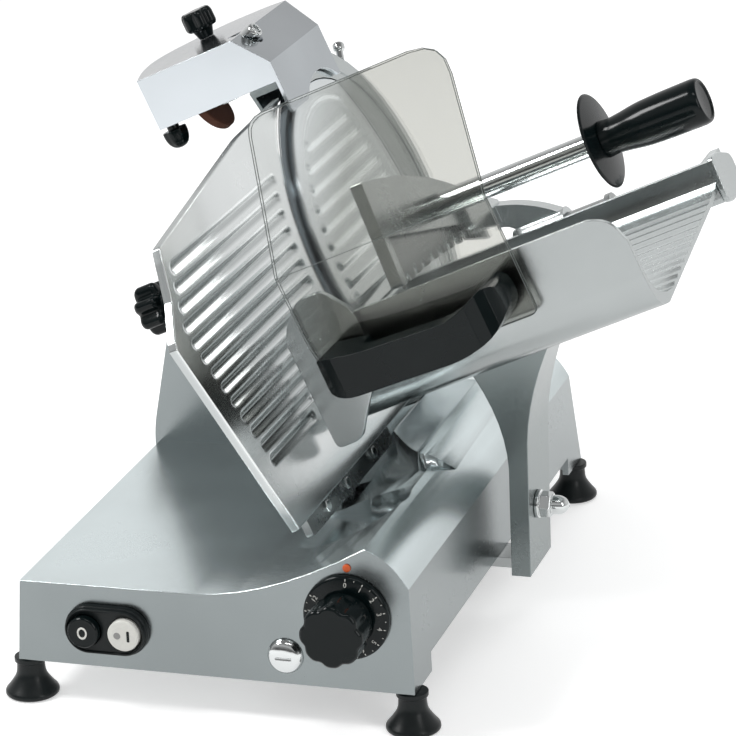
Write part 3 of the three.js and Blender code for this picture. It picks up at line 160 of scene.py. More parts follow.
NOISE = (0.3, 0.7)
CLOUDS = (0.35, 0.65)
WEAR = (0.45, 0.75)
FIRST_COLOUR, SECOND_COLOUR, MIXED_COLOUR = 6, 7, 2


class Graph:
    """Lays nodes into the tree of a material or of the world."""

    def __init__(self, owner: Material | bpy.types.World) -> None:
        """Empties the owner's tree but for its output, whose type ends in Material or World."""
        owner.use_nodes = True
        self.owner = owner
        self.nodes, self.links = owner.node_tree.nodes, owner.node_tree.links
        self.nodes.clear()
        self.output = self.nodes.new("ShaderNodeOutput" + type(owner).__name__)

    def add(self, kind: str, settings: dict | None = None, **inputs: object) -> bpy.types.Node:
        """Adds a node.

        Args:
            kind: the node's type without its ShaderNode prefix.
            settings: attributes of the node.
            inputs: values or output sockets for its inputs, with _ for a space in a name.

        Returns:
            The new node.
        """
        node = self.nodes.new("ShaderNode" + kind)
        for key, value in (settings or {}).items():
            setattr(node, key, value)
        for key, value in inputs.items():
            self.feed(node.inputs[key.replace("_", " ")], value)
        return node

    def feed(self, socket: Socket, value: object) -> None:
        """Links an output socket to an input, or sets the input's own value."""
        if isinstance(value, Socket):
            self.links.new(value, socket)
        else:
            socket.default_value = value

    def pair(self, kind: str, settings: dict, a: object, b: object) -> bpy.types.Node:
        """A node with its first two inputs fed."""
        node = self.add(kind, settings)
        self.feed(node.inputs[0], a)
        self.feed(node.inputs[1], b)
        return node

    def math(self, operation: str, a: object, b: object) -> Socket:
        """A Math node's output for two values or sockets."""
        return self.pair("Math", {"operation": operation}, a, b).outputs[0]

    def dot(self, vector: Socket, axis: Sequence[float]) -> Socket:
        """How far a vector goes along an axis."""
        return self.pair("VectorMath", {"operation": "DOT_PRODUCT"}, vector, axis).outputs["Value"]

    def span(self, value: object, low: float, high: float, to_low: float, to_high: float) -> Socket:
        """A value carried from one range to another, held at its ends."""
        node = self.add("MapRange", None, Value=value, From_Min=low, From_Max=high, To_Min=to_low, To_Max=to_high)
        return node.outputs[0]

    def coords(self, kind: str) -> Socket:
        """Object, Normal or Generated coordinates."""
        return self.add("TexCoord").outputs[kind]

    def part(self, vector: Socket, letter: str) -> Socket:
        """A vector's X, Y or Z."""
        return self.add("SeparateXYZ", None, Vector=vector).outputs[letter]

    def noise(self, scale: float, detail: float) -> Socket:
        """A noise value between 0 and 1."""
        return self.add("TexNoise", None, Vector=self.coords("Object"), Scale=scale, Detail=detail).outputs[0]

    def mix(self, share: object, first: object, second: object, kind: str = "MIX") -> Socket:
        """Mixes two colours.

        Args:
            share: how much of the second colour there is, as a value or a socket.
            first: a colour, or a socket that carries one.
            second: another one.
            kind: the way of mixing.

        Returns:
            The mixed colour.
        """
        node = self.add("Mix", {"data_type": "RGBA", "blend_type": kind})
        self.feed(node.inputs[0], share)
        for index, colour in ((FIRST_COLOUR, first), (SECOND_COLOUR, second)):
            self.feed(node.inputs[index], colour if isinstance(colour, Socket) else (*colour, 1.0))
        return node.outputs[MIXED_COLOUR]

    def end(self, node: bpy.types.Node) -> None:
        """Links a node to the output."""
        self.links.new(node.outputs[0], self.output.inputs[0])

    def close(self, **sockets: object) -> Material:
        """Ends a material's tree in a Principled shader with these sockets."""
        self.end(self.add("BsdfPrincipled", None, **sockets))
        return self.owner


@dataclass(frozen=True)
class Finish:
    """A named finish with its main colour."""

    name: str
    colour: Triple

    def graph(self) -> Graph:
        """The empty tree of a new material with this name."""
        return Graph(bpy.data.materials.new(self.name))

    def times(self, factor: float, more: float = 0.0) -> tuple[float, ...]:
        """The colour times a factor, plus a little."""
        return tuple(min(1.0, c * factor + more) for c in self.colour)


@dataclass(frozen=True)
class MetalFinish(Finish):
    """Satin, brushed or polished metal with a fine grain and faint clouds, and, if asked for, painted shade in its
    hollows and on its borders and painted light or shade on what faces upwards.
    """

    roughness: float
    grain_scale: float = 260.0
    cloud_scale: float = 9.0
    depth: float = 0.005
    cloud: float = 0.035
    spread: float = 0.03
    edge: float = 0.0006
    # hollow: how much painted shade goes into what lies behind the face
    hollow: float = 0.0
    # border: how much painted shade goes onto side-facing borders
    border: float = 0.55
    shade: Triple = (0.3, 0.32, 0.32)
    # above: painted light (over 1) or painted shade (under 1) on what faces upwards, as a colour factor
    above: float = 1.0

    def material(self) -> Material:
        """Builds the material."""
        g = self.graph()
        fine, broad = g.noise(self.grain_scale, 2.0), g.noise(self.cloud_scale, 2.0)
        rough = g.math("ADD", g.span(fine, *NOISE, -self.spread / 2, self.spread / 2),
                       g.span(broad, *NOISE, self.roughness - self.spread, self.roughness + self.spread))
        bump = g.add("Bump", None, Strength=self.depth, Distance=0.0003, Height=fine)
        if self.edge:
            g.feed(bump.inputs["Normal"], g.add("Bevel", {"samples": 6}, Radius=self.edge).outputs[0])
        tone = g.mix(g.span(broad, *CLOUDS, 0, 1), self.times(1 - 2 * self.cloud), self.times(1 + self.cloud))
        # painted shade in the hollows and on the borders
        if self.hollow:
            tone = self.dulled(g, tone)
        # painted light or shade on upward faces
        if self.above != 1.0:
            tone = self.topped(g, tone)
        return g.close(Base_Color=tone, Metallic=1.0, Roughness=rough, Normal=bump.outputs[0])

    def topped(self, g: Graph, tone: Socket) -> Socket:
        """Paints light or shade onto what faces upwards: its colour is scaled by the factor above, lighter where that
        is over 1 and darker where it is under 1.

        Args:
            g: the material's tree.
            tone: the colour so far.

        Returns:
            The changed colour.
        """
        factor = g.span(g.part(g.coords("Normal"), "Z"), 0.15, 0.7, 1.0, self.above)
        node = g.add("VectorMath", {"operation": "SCALE"}, Scale=factor)
        g.feed(node.inputs[0], tone)
        return node.outputs[0]

    def dulled(self, g: Graph, tone: Socket) -> Socket:
        """Paints shade onto the borders, and onto what lies behind the face, of a sheet that stands square to the
        blade's axis.

        The depth is the distance behind the plane through the blade's centre, and it counts only where the surface
        looks along the axis. Where it looks to the side it is a border. Both get painted shade, as grooves and creases
        would.

        Args:
            g: the material's tree.
            tone: the colour so far.

        Returns:
            The darkened colour.
        """
        axis = places.along.tolist()
        level = float(places.feed(np.zeros(3)) @ places.along)
        facing = g.dot(g.coords("Normal"), axis)
        behind = g.span(g.dot(g.coords("Object"), axis), level - 0.0018, level - 0.0002, 1.0, 0.0)
        share = g.math("MULTIPLY", behind, g.span(facing, 0.2, 0.5, 0.0, self.hollow))
        share = g.math("MAXIMUM", share, g.span(facing, 0.1, 0.4, self.border, 0.0))
        return g.mix(share, tone, self.shade, "MULTIPLY")


@dataclass(frozen=True)
class PlasticFinish(Finish):
    """Moulded plastic or rubber, with a faint orange-peel skin and handling wear."""

    roughness: float
    ior: float = 1.38
    peel: float = 0.03
    edge: float = 0.0006
    skin_scale: float = 320.0
    wear_scale: float = 30.0

    def material(self) -> Material:
        """Builds the material."""
        g = self.graph()
        skin, wear = g.noise(self.skin_scale, 2.0), g.noise(self.wear_scale, 3.0)
        soft = g.add("Bevel", {"samples": 4}, Radius=self.edge)
        bump = g.add("Bump", None, Strength=self.peel, Distance=0.0004, Height=skin, Normal=soft.outputs[0])
        return g.close(Base_Color=g.mix(g.span(wear, *WEAR, 0, 1), self.colour, self.times(1.1, 0.002)),
                       Roughness=g.span(wear, *NOISE, self.roughness * 0.85, self.roughness * 1.2),
                       IOR=self.ior, Normal=bump.outputs[0])


@dataclass(frozen=True)
class ClearFinish(Finish):
    """Clear sheet with faint wiping marks, painted darker at its rear top end than over the tray: painted shade for the
    grey seen through it there.
    """

    # painted shade: the darker colour of the sheet's rear top end
    deep: Triple
    turn: Pair = (-0.035, 0.01)
    mark_scale: float = 60.0
    gloss: float = 0.03

    def material(self) -> Material:
        """Builds the material."""
        g = self.graph()
        # share of painted shade, rising towards the rear top end
        painted_shade_share = g.span(g.part(g.coords("Object"), "X"), *self.turn, 0, 1)
        return g.close(Base_Color=g.mix(painted_shade_share, self.colour, self.deep),
                       Roughness=g.span(g.noise(self.mark_scale, 4.0), *NOISE, 0.0, self.gloss),
                       IOR=1.02, Transmission_Weight=1.0, Coat_Weight=0.6, Alpha=0.8)


@dataclass(frozen=True)
class StoneFinish(Finish):
    """Bonded grit of a grinding wheel."""

    grit_scale: float = 1400.0

    def material(self) -> Material:
        """Builds the material."""
        g = self.graph()
        grit = g.noise(self.grit_scale, 5.0)
        bump = g.add("Bump", None, Strength=0.6, Distance=0.0005, Height=grit)
        return g.close(Base_Color=g.mix(grit, self.times(0.6), self.times(1.3)), Roughness=0.9,
                       Normal=bump.outputs[0])


# The above factors paint light onto, or shade over, what faces upwards; the base's dark colour with above=3.1 paints a
# light deck over a shaded front.
FINISHES = {finish.name: finish for finish in (
    MetalFinish("cast_body", (0.265, 0.292, 0.296), 0.24, edge=0.0, above=3.1),
    MetalFinish("cast_plate", (0.42, 0.445, 0.445), 0.25, above=1.7),
    MetalFinish("polished_sheet", (0.62, 0.66, 0.69), 0.16, above=0.6),
    MetalFinish("blade_steel", (0.10, 0.13, 0.15), 0.12),
    MetalFinish("bright_steel", (0.66, 0.68, 0.68), 0.10),
    MetalFinish("plain_steel", (0.45, 0.47, 0.47), 0.28),
    MetalFinish("cast_housing", (0.5, 0.5, 0.5), 0.5, depth=0.2),
    PlasticFinish("motor_paint", (0.03, 0.033, 0.04), 0.45),
    PlasticFinish("black_plastic", (0.0030, 0.0065, 0.007), 0.14, 1.30),
    PlasticFinish("white_plastic", (0.82, 0.82, 0.77), 0.3, 1.45),
    PlasticFinish("orange_plastic", (0.75, 0.13, 0.03), 0.3, 1.45),
    PlasticFinish("black_rubber", (0.006, 0.009, 0.0095), 0.34, 1.34, 0.08),
    # the clear sheet's second colour is painted shade at its rear top end
    ClearFinish("clear_sheet", (0.96, 0.965, 0.955), (0.45, 0.455, 0.42)),
    StoneFinish("grinding_stone", (0.13, 0.05, 0.03)),
)}

PUSHER_CASTING = MetalFinish("pusher_casting", (0.66, 0.69, 0.69), 0.26)
# hollow paints shade into the gauge plate's flutes and onto its borders; above paints light onto upward faces of the
# arm.
NODE_FINISHES = {
    "gauge_plate": MetalFinish("fluted_plate", (0.86, 0.89, 0.89), 0.24, hollow=0.5),
    "carriage_arm": MetalFinish("arm_casting", (0.22, 0.25, 0.25), 0.26, above=1.6),
    "pusher_plate": PUSHER_CASTING,
    "pusher_arm": PUSHER_CASTING,
    "blade_cover": MetalFinish("ribbed_cover", (0.80, 0.84, 0.85), 0.22),
}

# painted shade: the dark grey of the bars along the clear guard's edges
EDGE_SHADE_GREY = PlasticFinish("guard_edge", (0.16, 0.18, 0.175), 0.2, 1.45)
MARK_GREY = PlasticFinish("mark_grey", (0.33, 0.33, 0.32), 0.4)


class Finishes:
    """Builds each finish once and hands it to the pieces of its slot."""

    def __init__(self) -> None:
        """Reads which slot each node has."""
        self.made: dict[str, Material] = {}
        self.slot_of = {part["node"]: part["material_slot"] for part in frame["record"]["subparts"]}

    def make(self, finish: Finish) -> Material:
        """A finish's material, made at its first use."""
        if finish.name not in self.made:
            self.made[finish.name] = finish.material()
        return self.made[finish.name]

    def of_node(self, node: str) -> Material:
        """The material of a node: its own where it has one, otherwise its slot's."""
        return self.make(NODE_FINISHES.get(node, FINISHES[self.slot_of[node]]))

    def paint_node(self, node: str) -> None:
        """Gives a CAD node its material."""
        for spot in frame["nodes"][node].material_slots:
            spot.link = "OBJECT"
            spot.material = self.of_node(node)


finishes = Finishes()


# Meshes


def link_piece(name: str, mesh: Mesh, body: Body | str, slot: str, *stands_for: str,
               finish: Finish | None = None) -> bpy.types.Object:
    """Puts a finished mesh in the scene.

    Args:
        name: the piece's name.
        mesh: its mesh, in the row frame's metres.
        body: the body that it rides on.
        slot: its material slot.
        stands_for: CAD nodes that it replaces.
        finish: a finish of its own, where it isn't the node's or the slot's.

    Returns:
        The new object.
    """
    piece = linked(name, mesh)
    mesh.materials.clear()
    if finish:
        mesh.materials.append(finishes.make(finish))
    elif stands_for:
        mesh.materials.append(finishes.of_node(stands_for[0]))
    else:
        mesh.materials.append(finishes.make(FINISHES[slot]))
    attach(piece, body.value if isinstance(body, Body) else body)
    if stands_for:
        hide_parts(*stands_for)
    log.info("piece %s, %d faces", name, len(mesh.polygons))
    return piece


def stand_in(node: str, mesh: Mesh) -> bpy.types.Object:
    """Puts a finer mesh in a CAD node's place, with that node's body, slot and finish."""
    return link_piece(node + "_fine", mesh, frame["nodes"][node]["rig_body"], finishes.slot_of[node], node)


def smooth(mesh: Mesh, sharp: float = SHARP) -> None:
    """Shades a mesh smooth up to an angle in degrees."""
    mesh.polygons.foreach_set("use_smooth", np.ones(len(mesh.polygons), bool))
    mesh.set_sharp_from_angle(angle=math.radians(sharp))
    mesh.update()


def merged(node: str) -> Shape:
    """A CAD node's shape with its doubles merged and its flat faces joined."""
    shape = bmesh.new()
    shape.from_mesh(frame["nodes"][node].data)
    bmesh.ops.remove_doubles(shape, verts=shape.verts[:], dist=SAME_SPOT)
    bmesh.ops.dissolve_limit(shape, angle_limit=math.radians(0.4), verts=shape.verts[:], edges=shape.edges[:])
    return shape


def bevelled(shape: Shape, edges: list[bmesh.types.BMEdge], reach: float, segments: int) -> None:
    """Rounds some edges of a shape."""
    bmesh.ops.bevel(shape, geom=edges, offset=reach, offset_type="OFFSET", segments=segments, profile=0.5,
                    affect="EDGES", clamp_overlap=True)


def dressed(node: str, sharp: float = SHARP, edge: float = 0.0, work: Callable[[Shape], None] | None = None) -> None:
    """Replaces a CAD node by a merged and smoothly shaded copy.

    Args:
        node: the node's name.
        sharp: the angle in degrees above which an edge stays sharp.
        edge: the width in metres to which sharp edges are rounded, or zero.
        work: a change to the shape before it is shaded.
    """
    shape = merged(node)
    if work:
        work(shape)
    mesh = bpy.data.meshes.new(node + "_fine")
    shape.to_mesh(mesh)
    shape.free()
    smooth(mesh, sharp)
    piece = stand_in(node, mesh)
    if edge:
        bevel = piece.modifiers.new("Edges", "BEVEL")
        bevel.width = edge
        bevel.segments = 3
        bevel.limit_method = "ANGLE"
        bevel.angle_limit = math.radians(sharp)
    piece.modifiers.new("Weigh", "WEIGHTED_NORMAL").keep_sharp = True


def rounded(corners: Sequence[Sequence[float]], steps: int = 7) -> Array:
    """An open outline whose corners are rounded.

    A corner [x, y, reach] becomes the curve (1-t)^2 a + 2t(1-t) c + t^2 b, where c is the corner and a and b lie
    on its two sides at the distance reach, or half way to the next corner if that is nearer.

    Args:
        corners: the corners, as [x, y] or [x, y, reach].
        steps: points on each curve.

    Returns:
        The outline's points as rows.
    """
    c = np.array([[*corner, 0.0][:3] for corner in corners], float)
    spots, reach = c[:, :2], c[:, 2]
    reach[[0, -1]] = 0.0
    back = np.roll(spots, 1, axis=0) - spots
    ahead = np.roll(spots, -1, axis=0) - spots
    lengths = np.maximum(np.linalg.norm(np.stack([back, ahead]), axis=2), 1e-9)
    reach = np.minimum(reach, lengths.min(axis=0) / 2)
    first = spots + back * (reach / lengths[0])[:, None]
    last = spots + ahead * (reach / lengths[1])[:, None]
    t = np.linspace(0, 1, steps)[None, :, None]
    curve = (1 - t) ** 2 * first[:, None] + 2 * t * (1 - t) * spots[:, None] + t ** 2 * last[:, None]
    flat = curve.reshape(-1, 2)
    apart = np.linalg.norm(np.diff(flat, axis=0), axis=1) > 1e-6
    return flat[np.concatenate([[True], apart])]


def evened(line: Array, rows: int) -> Array:
    """The same line with its points at even distances along it."""
    walked = np.concatenate([[0.0], np.cumsum(np.linalg.norm(np.diff(line, axis=0), axis=1))])
    spots = np.linspace(0, walked[-1], rows)
    return np.stack([np.interp(spots, walked, line[:, k]) for k in (0, 1)], axis=1)


def eased(share: Array) -> Array:
    """A share held between 0 and 1 and softened at both ends: 3 t^2 - 2 t^3."""
    t = np.clip(share, 0, 1)
    return t * t * (3 - 2 * t)


def sheet_mesh(name: str, grids: Sequence[tuple[Array, bool]], sharp: float = 40.0) -> Mesh:
    """One mesh from grids of points, with quads between neighbours and the grids' shared points merged.

    Args:
        name: the mesh's name.
        grids: each grid's points as rows by columns by 3, in metres, and whether its columns close in a ring.
        sharp: the angle in degrees above which an edge stays sharp.

    Returns:
        The mesh, with its faces pointing outwards.
    """
    points, quads, start = [], [], 0
    for grid, ring in grids:
        rows, columns = grid.shape[:2]
        index = np.arange(rows * columns).reshape(rows, columns) + start
        beside = np.roll(index, -1, axis=1)
        faces = np.stack([index[:-1], beside[:-1], beside[1:], index[1:]], axis=-1)
        quads.append((faces if ring else faces[:, :-1]).reshape(-1, 4))
        points.append(grid.reshape(-1, 3))
        start += rows * columns
    mesh = bpy.data.meshes.new(name)
    mesh.from_pydata(np.concatenate(points).tolist(), [], np.concatenate(quads).tolist())
    shape = bmesh.new()
    shape.from_mesh(mesh)
    bmesh.ops.remove_doubles(shape, verts=shape.verts[:], dist=SAME_SPOT)
    bmesh.ops.recalc_face_normals(shape, faces=shape.faces[:])
    shape.to_mesh(mesh)
    shape.free()
    smooth(mesh, sharp)
    return mesh


@dataclass(frozen=True)
class Axis:
    """A line that pieces are turned about, in the machine frame or the feed frame."""

    frame: Wave
    origin: Triple
    out: Triple
    side: Triple
    squash: Pair = (1.0, 1.0)

    def spots(self, across: Array, up: Array, place: Array) -> Array:
        """Points in metres: origin + place * out + across * side + up * (out x side), each in millimetres."""
        out, side = np.array(self.out), np.array(self.side)
        parts = (place[..., None] * out, across[..., None] * side * self.squash[0],
                 up[..., None] * np.cross(out, side) * self.squash[1])
        return self.frame(np.array(self.origin) + sum(parts))

    def ring(self, radius: Array, place: Array, angle: Array) -> Array:
        """Points in metres at a radius, a place along the line and an angle round it."""
        return self.spots(radius * np.cos(angle), radius * np.sin(angle), place + 0 * radius)


def front_axis(x: float, z: float, squash: Pair = (1.0, 1.0)) -> Axis:
    """An axis that points forwards out of the front panel."""
    return Axis(places.machine, (x, 0.0, z), (0, -1, 0), (1, 0, 0), squash)


def feed_axis(origin: Triple = (0, 0, 0), out: Triple = (1, 0, 0), side: Triple = (0, 1, 0)) -> Axis:
    """An axis in the feed frame, which goes along the blade's own if nothing else is said."""
    return Axis(places.feed, origin, out, side)


def round_way(count: int, depth: float, power: float = 1.0) -> Wave:
    """A radius factor round an axis: 1 - depth * ((1 - cos(count * angle)) / 2) ^ power."""
    return lambda angle: 1 - depth * (0.5 - 0.5 * np.cos(count * angle)) ** power


def flats(count: int) -> Wave:
    """A radius factor that gives a regular polygon: cos(h) / cos(angle from the middle of a side), h = pi / count."""
    half = math.pi / count
    return lambda angle: math.cos(half) / np.cos(np.mod(angle, 2 * half) - half)


def squared(power: float) -> Wave:
    """A radius factor that gives a square with soft corners: (|cos|^p + |sin|^p)^(-1/p)."""
    return lambda angle: (np.abs(np.cos(angle)) ** power + np.abs(np.sin(angle)) ** power) ** (-1 / power)


def turned(name: str, axis: Axis, corners: Sequence[Sequence[float]], sides: int = 96, rows: int = 0,
           factor: Wave | None = None, between: Pair = (-1e6, 1e6),
           dent: Callable[[Array, Array], Array] | None = None) -> Mesh:
    """A closed surface that a rounded profile makes when it is turned about an axis.

    The radius is profile * factor(angle) where the place lies between two limits, and the place is moved by
    dent(radius, angle).

    Args:
        name: the mesh's name.
        axis: the line it is turned about.
        corners: the profile's [radius, place] or [radius, place, reach] corners.
        sides: columns round the axis.
        rows: even rows along the profile, or zero for the profile's own points.
        factor: the radius factor round the axis.
        between: the places where the factor holds.
        dent: what is added to the place.

    Returns:
        The mesh.
    """
    profile = rounded(corners)
    profile = evened(profile, rows) if rows else profile
    angle = (np.arange(sides) * 2 * math.pi / sides)[None, :]
    radius = profile[:, :1] + 0 * angle
    place = profile[:, 1:] + 0 * angle
    if factor:
        held = (place > between[0]) & (place < between[1])
        radius = np.where(held, radius * factor(angle), radius)
    if dent:
        place = place + dent(radius, angle)
    grid = axis.ring(radius, place, angle)
    if profile[0, 0] > 0:
        grid = np.concatenate([grid, grid[:1]])
    return sheet_mesh(name, [(grid, True)])


def lathe(node: str, axis: Axis, corners: Sequence[Sequence[float]], sides: int = 96, **more: object) -> None:
    """Replaces a CAD node by a turned surface, whose arguments are those of turned."""
    stand_in(node, turned(node, axis, corners, sides, **more))


def spread(low: Array, high: Array, columns: int) -> Array:
    """Columns between two borders, with close ones beside each border: rows by columns."""
    near = np.array([0, 0.25, 0.6, 1.2])
    share = np.clip((high - low) / 8, 0, 1)
    inner = low + 2 * share + (high - low - 4 * share) * np.linspace(0, 1, columns)
    return np.concatenate([low + near * share, inner, high - near[::-1] * share], axis=1)


def softened(border: Array, radius: float) -> Array:
    """How far a quarter-round edge lies below its face, at a distance from the border."""
    return radius - np.sqrt(np.maximum(radius ** 2 - (radius - np.clip(border, 0, radius)) ** 2, 0))


def bars(u: Array, v: Array, lines: Sequence[Triple], half: float, height: float) -> Array:
    """The height of bars along U with round ends: height * (1 + cos(pi r)) / 2.

    Here r is the distance from a bar's middle line over its half width, up to 1.

    Args:
        u: places to the rear.
        v: places up the blade.
        lines: each bar's V and the two U that its middle line runs between.
        half: half its width.
        height: its height in the middle.

    Returns:
        The height at each place.
    """
    total = 0 * u
    for line, start, end in lines:
        off = np.hypot(u - np.clip(u, start, end), v - line) / half
        total = total + height * (0.5 + 0.5 * np.cos(math.pi * np.minimum(off, 1)))
    return total


def pressed(node: str, u: Array, v: Array, front: Array, back: Array) -> None:
    """Replaces a CAD node by a closed sheet square to the blade's axis.

    Each row is a ring of the front's points and the back's points in reverse, and the first and the last row close
    on their middle line.

    Args:
        node: the node's name.
        u: places to the rear, rows by columns.
        v: places up the blade, one for each row.
        front: places of the front along the axis.
        back: places of the back along the axis.
    """
    v = v + 0 * u
    back = np.minimum(back, front - 0.2)
    rows = np.stack([np.concatenate([front, back[:, ::-1]], axis=1), np.concatenate([u, u[:, ::-1]], axis=1),
                     np.concatenate([v, v[:, ::-1]], axis=1)], axis=-1)
    first, last = rows[:1].copy(), rows[-1:].copy()
    for cap, k in ((first, 0), (last, -1)):
        middle = (front[k] + back[k]) / 2
        cap[0, :, 0] = np.concatenate([middle, middle[::-1]])
    stand_in(node, sheet_mesh(node, [(places.feed(np.concatenate([first, rows, last])), True)], 45))


def letters(text: str, size: float) -> tuple[Array, list[list[int]]]:
    """A short text as a flat raised mesh, centred on its zero.

    Args:
        text: what it says.
        size: its height in millimetres.

    Returns:
        Its points in millimetres, and its faces.
    """
    curve = bpy.data.curves.new("letters", "FONT")
    curve.body = text
    curve.align_x, curve.align_y = "CENTER", "CENTER"
    curve.size = size
    curve.extrude = 0.1
    curve.resolution_u = 3
    holder = bpy.data.objects.new("letters", curve)
    mesh = bpy.data.meshes.new_from_object(holder)
    points = np.empty(len(mesh.vertices) * 3)
    mesh.vertices.foreach_get("co", points)
    faces = [list(face.vertices) for face in mesh.polygons]
    bpy.data.objects.remove(holder)
    bpy.data.curves.remove(curve)
    bpy.data.meshes.remove(mesh)
    return points.reshape(-1, 3), faces


# Studio


@dataclass(frozen=True)
class Lamp:
    """A soft rectangular lamp: its place, target, width and height in metres, and its power in watts."""

    name: str
    place: Triple
    target: Triple
    size: Pair
    power: float
    mirrored: bool = True

    def hang(self) -> None:
        """Puts the lamp in the scene."""
        light = bpy.data.lights.new(self.name, "AREA")
        light.shape = "RECTANGLE"
        light.size, light.size_y = self.size
        light.energy = self.power
        lamp = linked(self.name, light)
        lamp.location = self.place
        lamp.rotation_mode = "QUATERNION"
        lamp.rotation_quaternion = (Vector(self.target) - Vector(self.place)).to_track_quat("-Z", "Y")
        lamp.visible_glossy = self.mirrored


@dataclass
class Studio:
    """White seamless floor, soft lamps and the camera at the photograph's angle."""

    yaw: float = 17.9
    pitch: float = 19.2
    roll: float = -2.3
    focal: float = 3644.0
    frame_side: float = 736.0
    anchor: Triple = (0.0, 0.0, 30.0)
    anchor_pixel: Pair = (19.0, 660.0)
    anchor_scale: float = 1.359
    sensor: float = 36.0
    floor_reach: float = 20.0
    floor_tone: float = 0.86
    floor_lift: float = 0.45
    lamps: tuple = (Lamp("key", (-1.4, -0.7, 1.7), (0, 0, 0.2), (0.55, 0.65), 22),
                    Lamp("fill", (1.7, -1.2, 1.1), (0, 0, 0.25), (0.4, 1.3), 8),
                    Lamp("strip", (0.3, -0.9, 2.0), (0, 0, 0.2), (1.2, 0.14), 5),
                    Lamp("back", (0.3, 1.7, 1.5), (0, 0, 0.25), (1.6, 0.8), 14, False))

    def camera(self) -> None:
        """Places the camera so that the anchor falls on its pixel, at the yaw, pitch and roll of the photograph."""
        yaw, pitch, roll = (math.radians(a) for a in (self.yaw, self.pitch, self.roll))
        level = np.array([math.cos(yaw), math.sin(yaw), 0.0])
        ahead = np.array([-math.sin(yaw), math.cos(yaw), 0.0])
        upright = np.array([0.0, 0.0, 1.0])
        forward = ahead * math.cos(pitch) - upright * math.sin(pitch)
        top = upright * math.cos(pitch) + ahead * math.sin(pitch)
        right = level * math.cos(roll) + top * math.sin(roll)
        above = top * math.cos(roll) - level * math.sin(roll)
        depth = self.focal / self.anchor_scale / 1000
        half = self.frame_side / 2
        across = (self.anchor_pixel[0] - half) / self.focal * depth
        down = (self.anchor_pixel[1] - half) / self.focal * depth
        place = places.machine(np.array(self.anchor)) - right * across + above * down - forward * depth
        lens = bpy.data.cameras.new("view")
        lens.sensor_width = self.sensor
        lens.lens = self.focal / self.frame_side * self.sensor
        lens.clip_start, lens.clip_end = 0.1, 50.0
        camera = linked("view", lens)
        camera.matrix_world = Matrix([[right[i], above[i], -forward[i], place[i]] for i in range(3)] + [[0, 0, 0, 1]])
        bpy.context.scene.camera = camera

    def floor(self) -> None:
        """A wide pale floor that shows white to the camera and keeps the shadow."""
        mesh = bpy.data.meshes.new("floor")
        r = self.floor_reach
        mesh.from_pydata([(-r, -r, 0), (r, -r, 0), (r, r, 0), (-r, r, 0)], [], [(0, 1, 2, 3)])
        g = Graph(bpy.data.materials.new("floor"))
        ray = g.add("LightPath").outputs
        seen = g.math("MAXIMUM", ray["Is Camera Ray"],
                      g.math("MAXIMUM", ray["Is Glossy Ray"], ray["Is Transmission Ray"]))
        base = g.add("BsdfDiffuse", None, Color=(*(self.floor_tone,) * 3, 1))
        lift = g.add("Emission", None, Color=(1, 1, 1, 1), Strength=g.math("MULTIPLY", seen, self.floor_lift))
        g.end(g.pair("AddShader", {}, base.outputs[0], lift.outputs[0]))
        mesh.materials.append(g.owner)
        floor = linked("floor", mesh)

    def world(self) -> None:
        """Even light from a pale room that is darker towards the front and overhead."""
        bpy.context.scene.world = bpy.data.worlds.new("room")
        g = Graph(bpy.context.scene.world)
        way = g.coords("Generated")
        front = g.span(g.part(way, "Y"), -0.8, 0.3, 0.12, 1.0)
        high = g.span(g.part(way, "Z"), 0.05, 0.4, 0.0, 0.7)
        top = g.span(g.part(way, "Z"), 0.45, 0.85, 1.0, 0.4)
        g.end(g.add("Background", None, Strength=g.math("MULTIPLY", g.math("MAXIMUM", front, high), top)))

    def build(self) -> None:
        """Sets up everything round the object."""
        bpy.context.scene.view_settings.view_transform = "Standard"
        self.camera()
        self.floor()
        self.world()
        for lamp in self.lamps:
            lamp.hang()


# Sub-assemblies


@dataclass
class BaseGroup:
    """The base casting with its feet and the plug of the guide rod."""

    feet: tuple = ("foot_front_left", "foot_front_right", "foot_rear_left", "foot_rear_right")
    foot: tuple = ((0, 0), (18, 0, 1.5), (20, 1.6, 1), (20, 4.2, 2), (15.5, 9.5, 5), (10.8, 16.5, 6), (10.3, 24),
                   (10.3, 26.2, 0.5), (11.8, 26.8, 0.5), (11.8, 30.4, 0.6), (0, 30.4))
    lip: float = 0.0017
    plug_place: Pair = (208.0, 53.0)
    plug: tuple = ((0, 0.3), (13.5, 0.3), (13.3, 1.6, 0.8), (11.2, 4.9, 3), (6.5, 6.6, 3), (0, 7))
    slot_half: float = 0.7
    slot_reach: float = 6.5
    slot_depth: float = 0.9

    def round_front(self, shape: Shape) -> None:
        """Rounds the casting's front border: the edges between its front face and its top and sides."""
        front = min(v.co.y for v in shape.verts)
        edges = []
        for edge in shape.edges:
            if len(edge.link_faces) != 2 or any(v.co.y > front + SAME_LEVEL for v in edge.verts):
                continue
            other = max(edge.link_faces, key=lambda face: face.normal.y).normal
            if other.y > -0.5 and (other.z > 0.05 or abs(other.x) > 0.9):
                edges.append(edge)
        bevelled(shape, edges, self.lip, 3)

    def slot(self, radius: Array, angle: Array) -> Array:
        """A screwdriver slot across the plug: a groove where |y| is small and |x| is within its reach."""
        x, y = np.abs(radius * np.cos(angle)), np.abs(radius * np.sin(angle))
        return -self.slot_depth * eased(self.slot_half - y + 0.5) * np.clip(self.slot_reach - x, 0, 1)

    def build(self) -> None:
        """Makes the casting's fine copy, the feet and the plug."""
        dressed("base_casting", work=self.round_front)
        for node in self.feet:
            low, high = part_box(node)
            spot = (np.array((low + high) / 2) - places.zero) * 1000
            lathe(node, Axis(places.machine, (spot[0], spot[1], 0.0), (0, 0, 1), (1, 0, 0)), self.foot)
        lathe("front_plug", front_axis(*self.plug_place), self.plug, 144, rows=64, dent=self.slot)


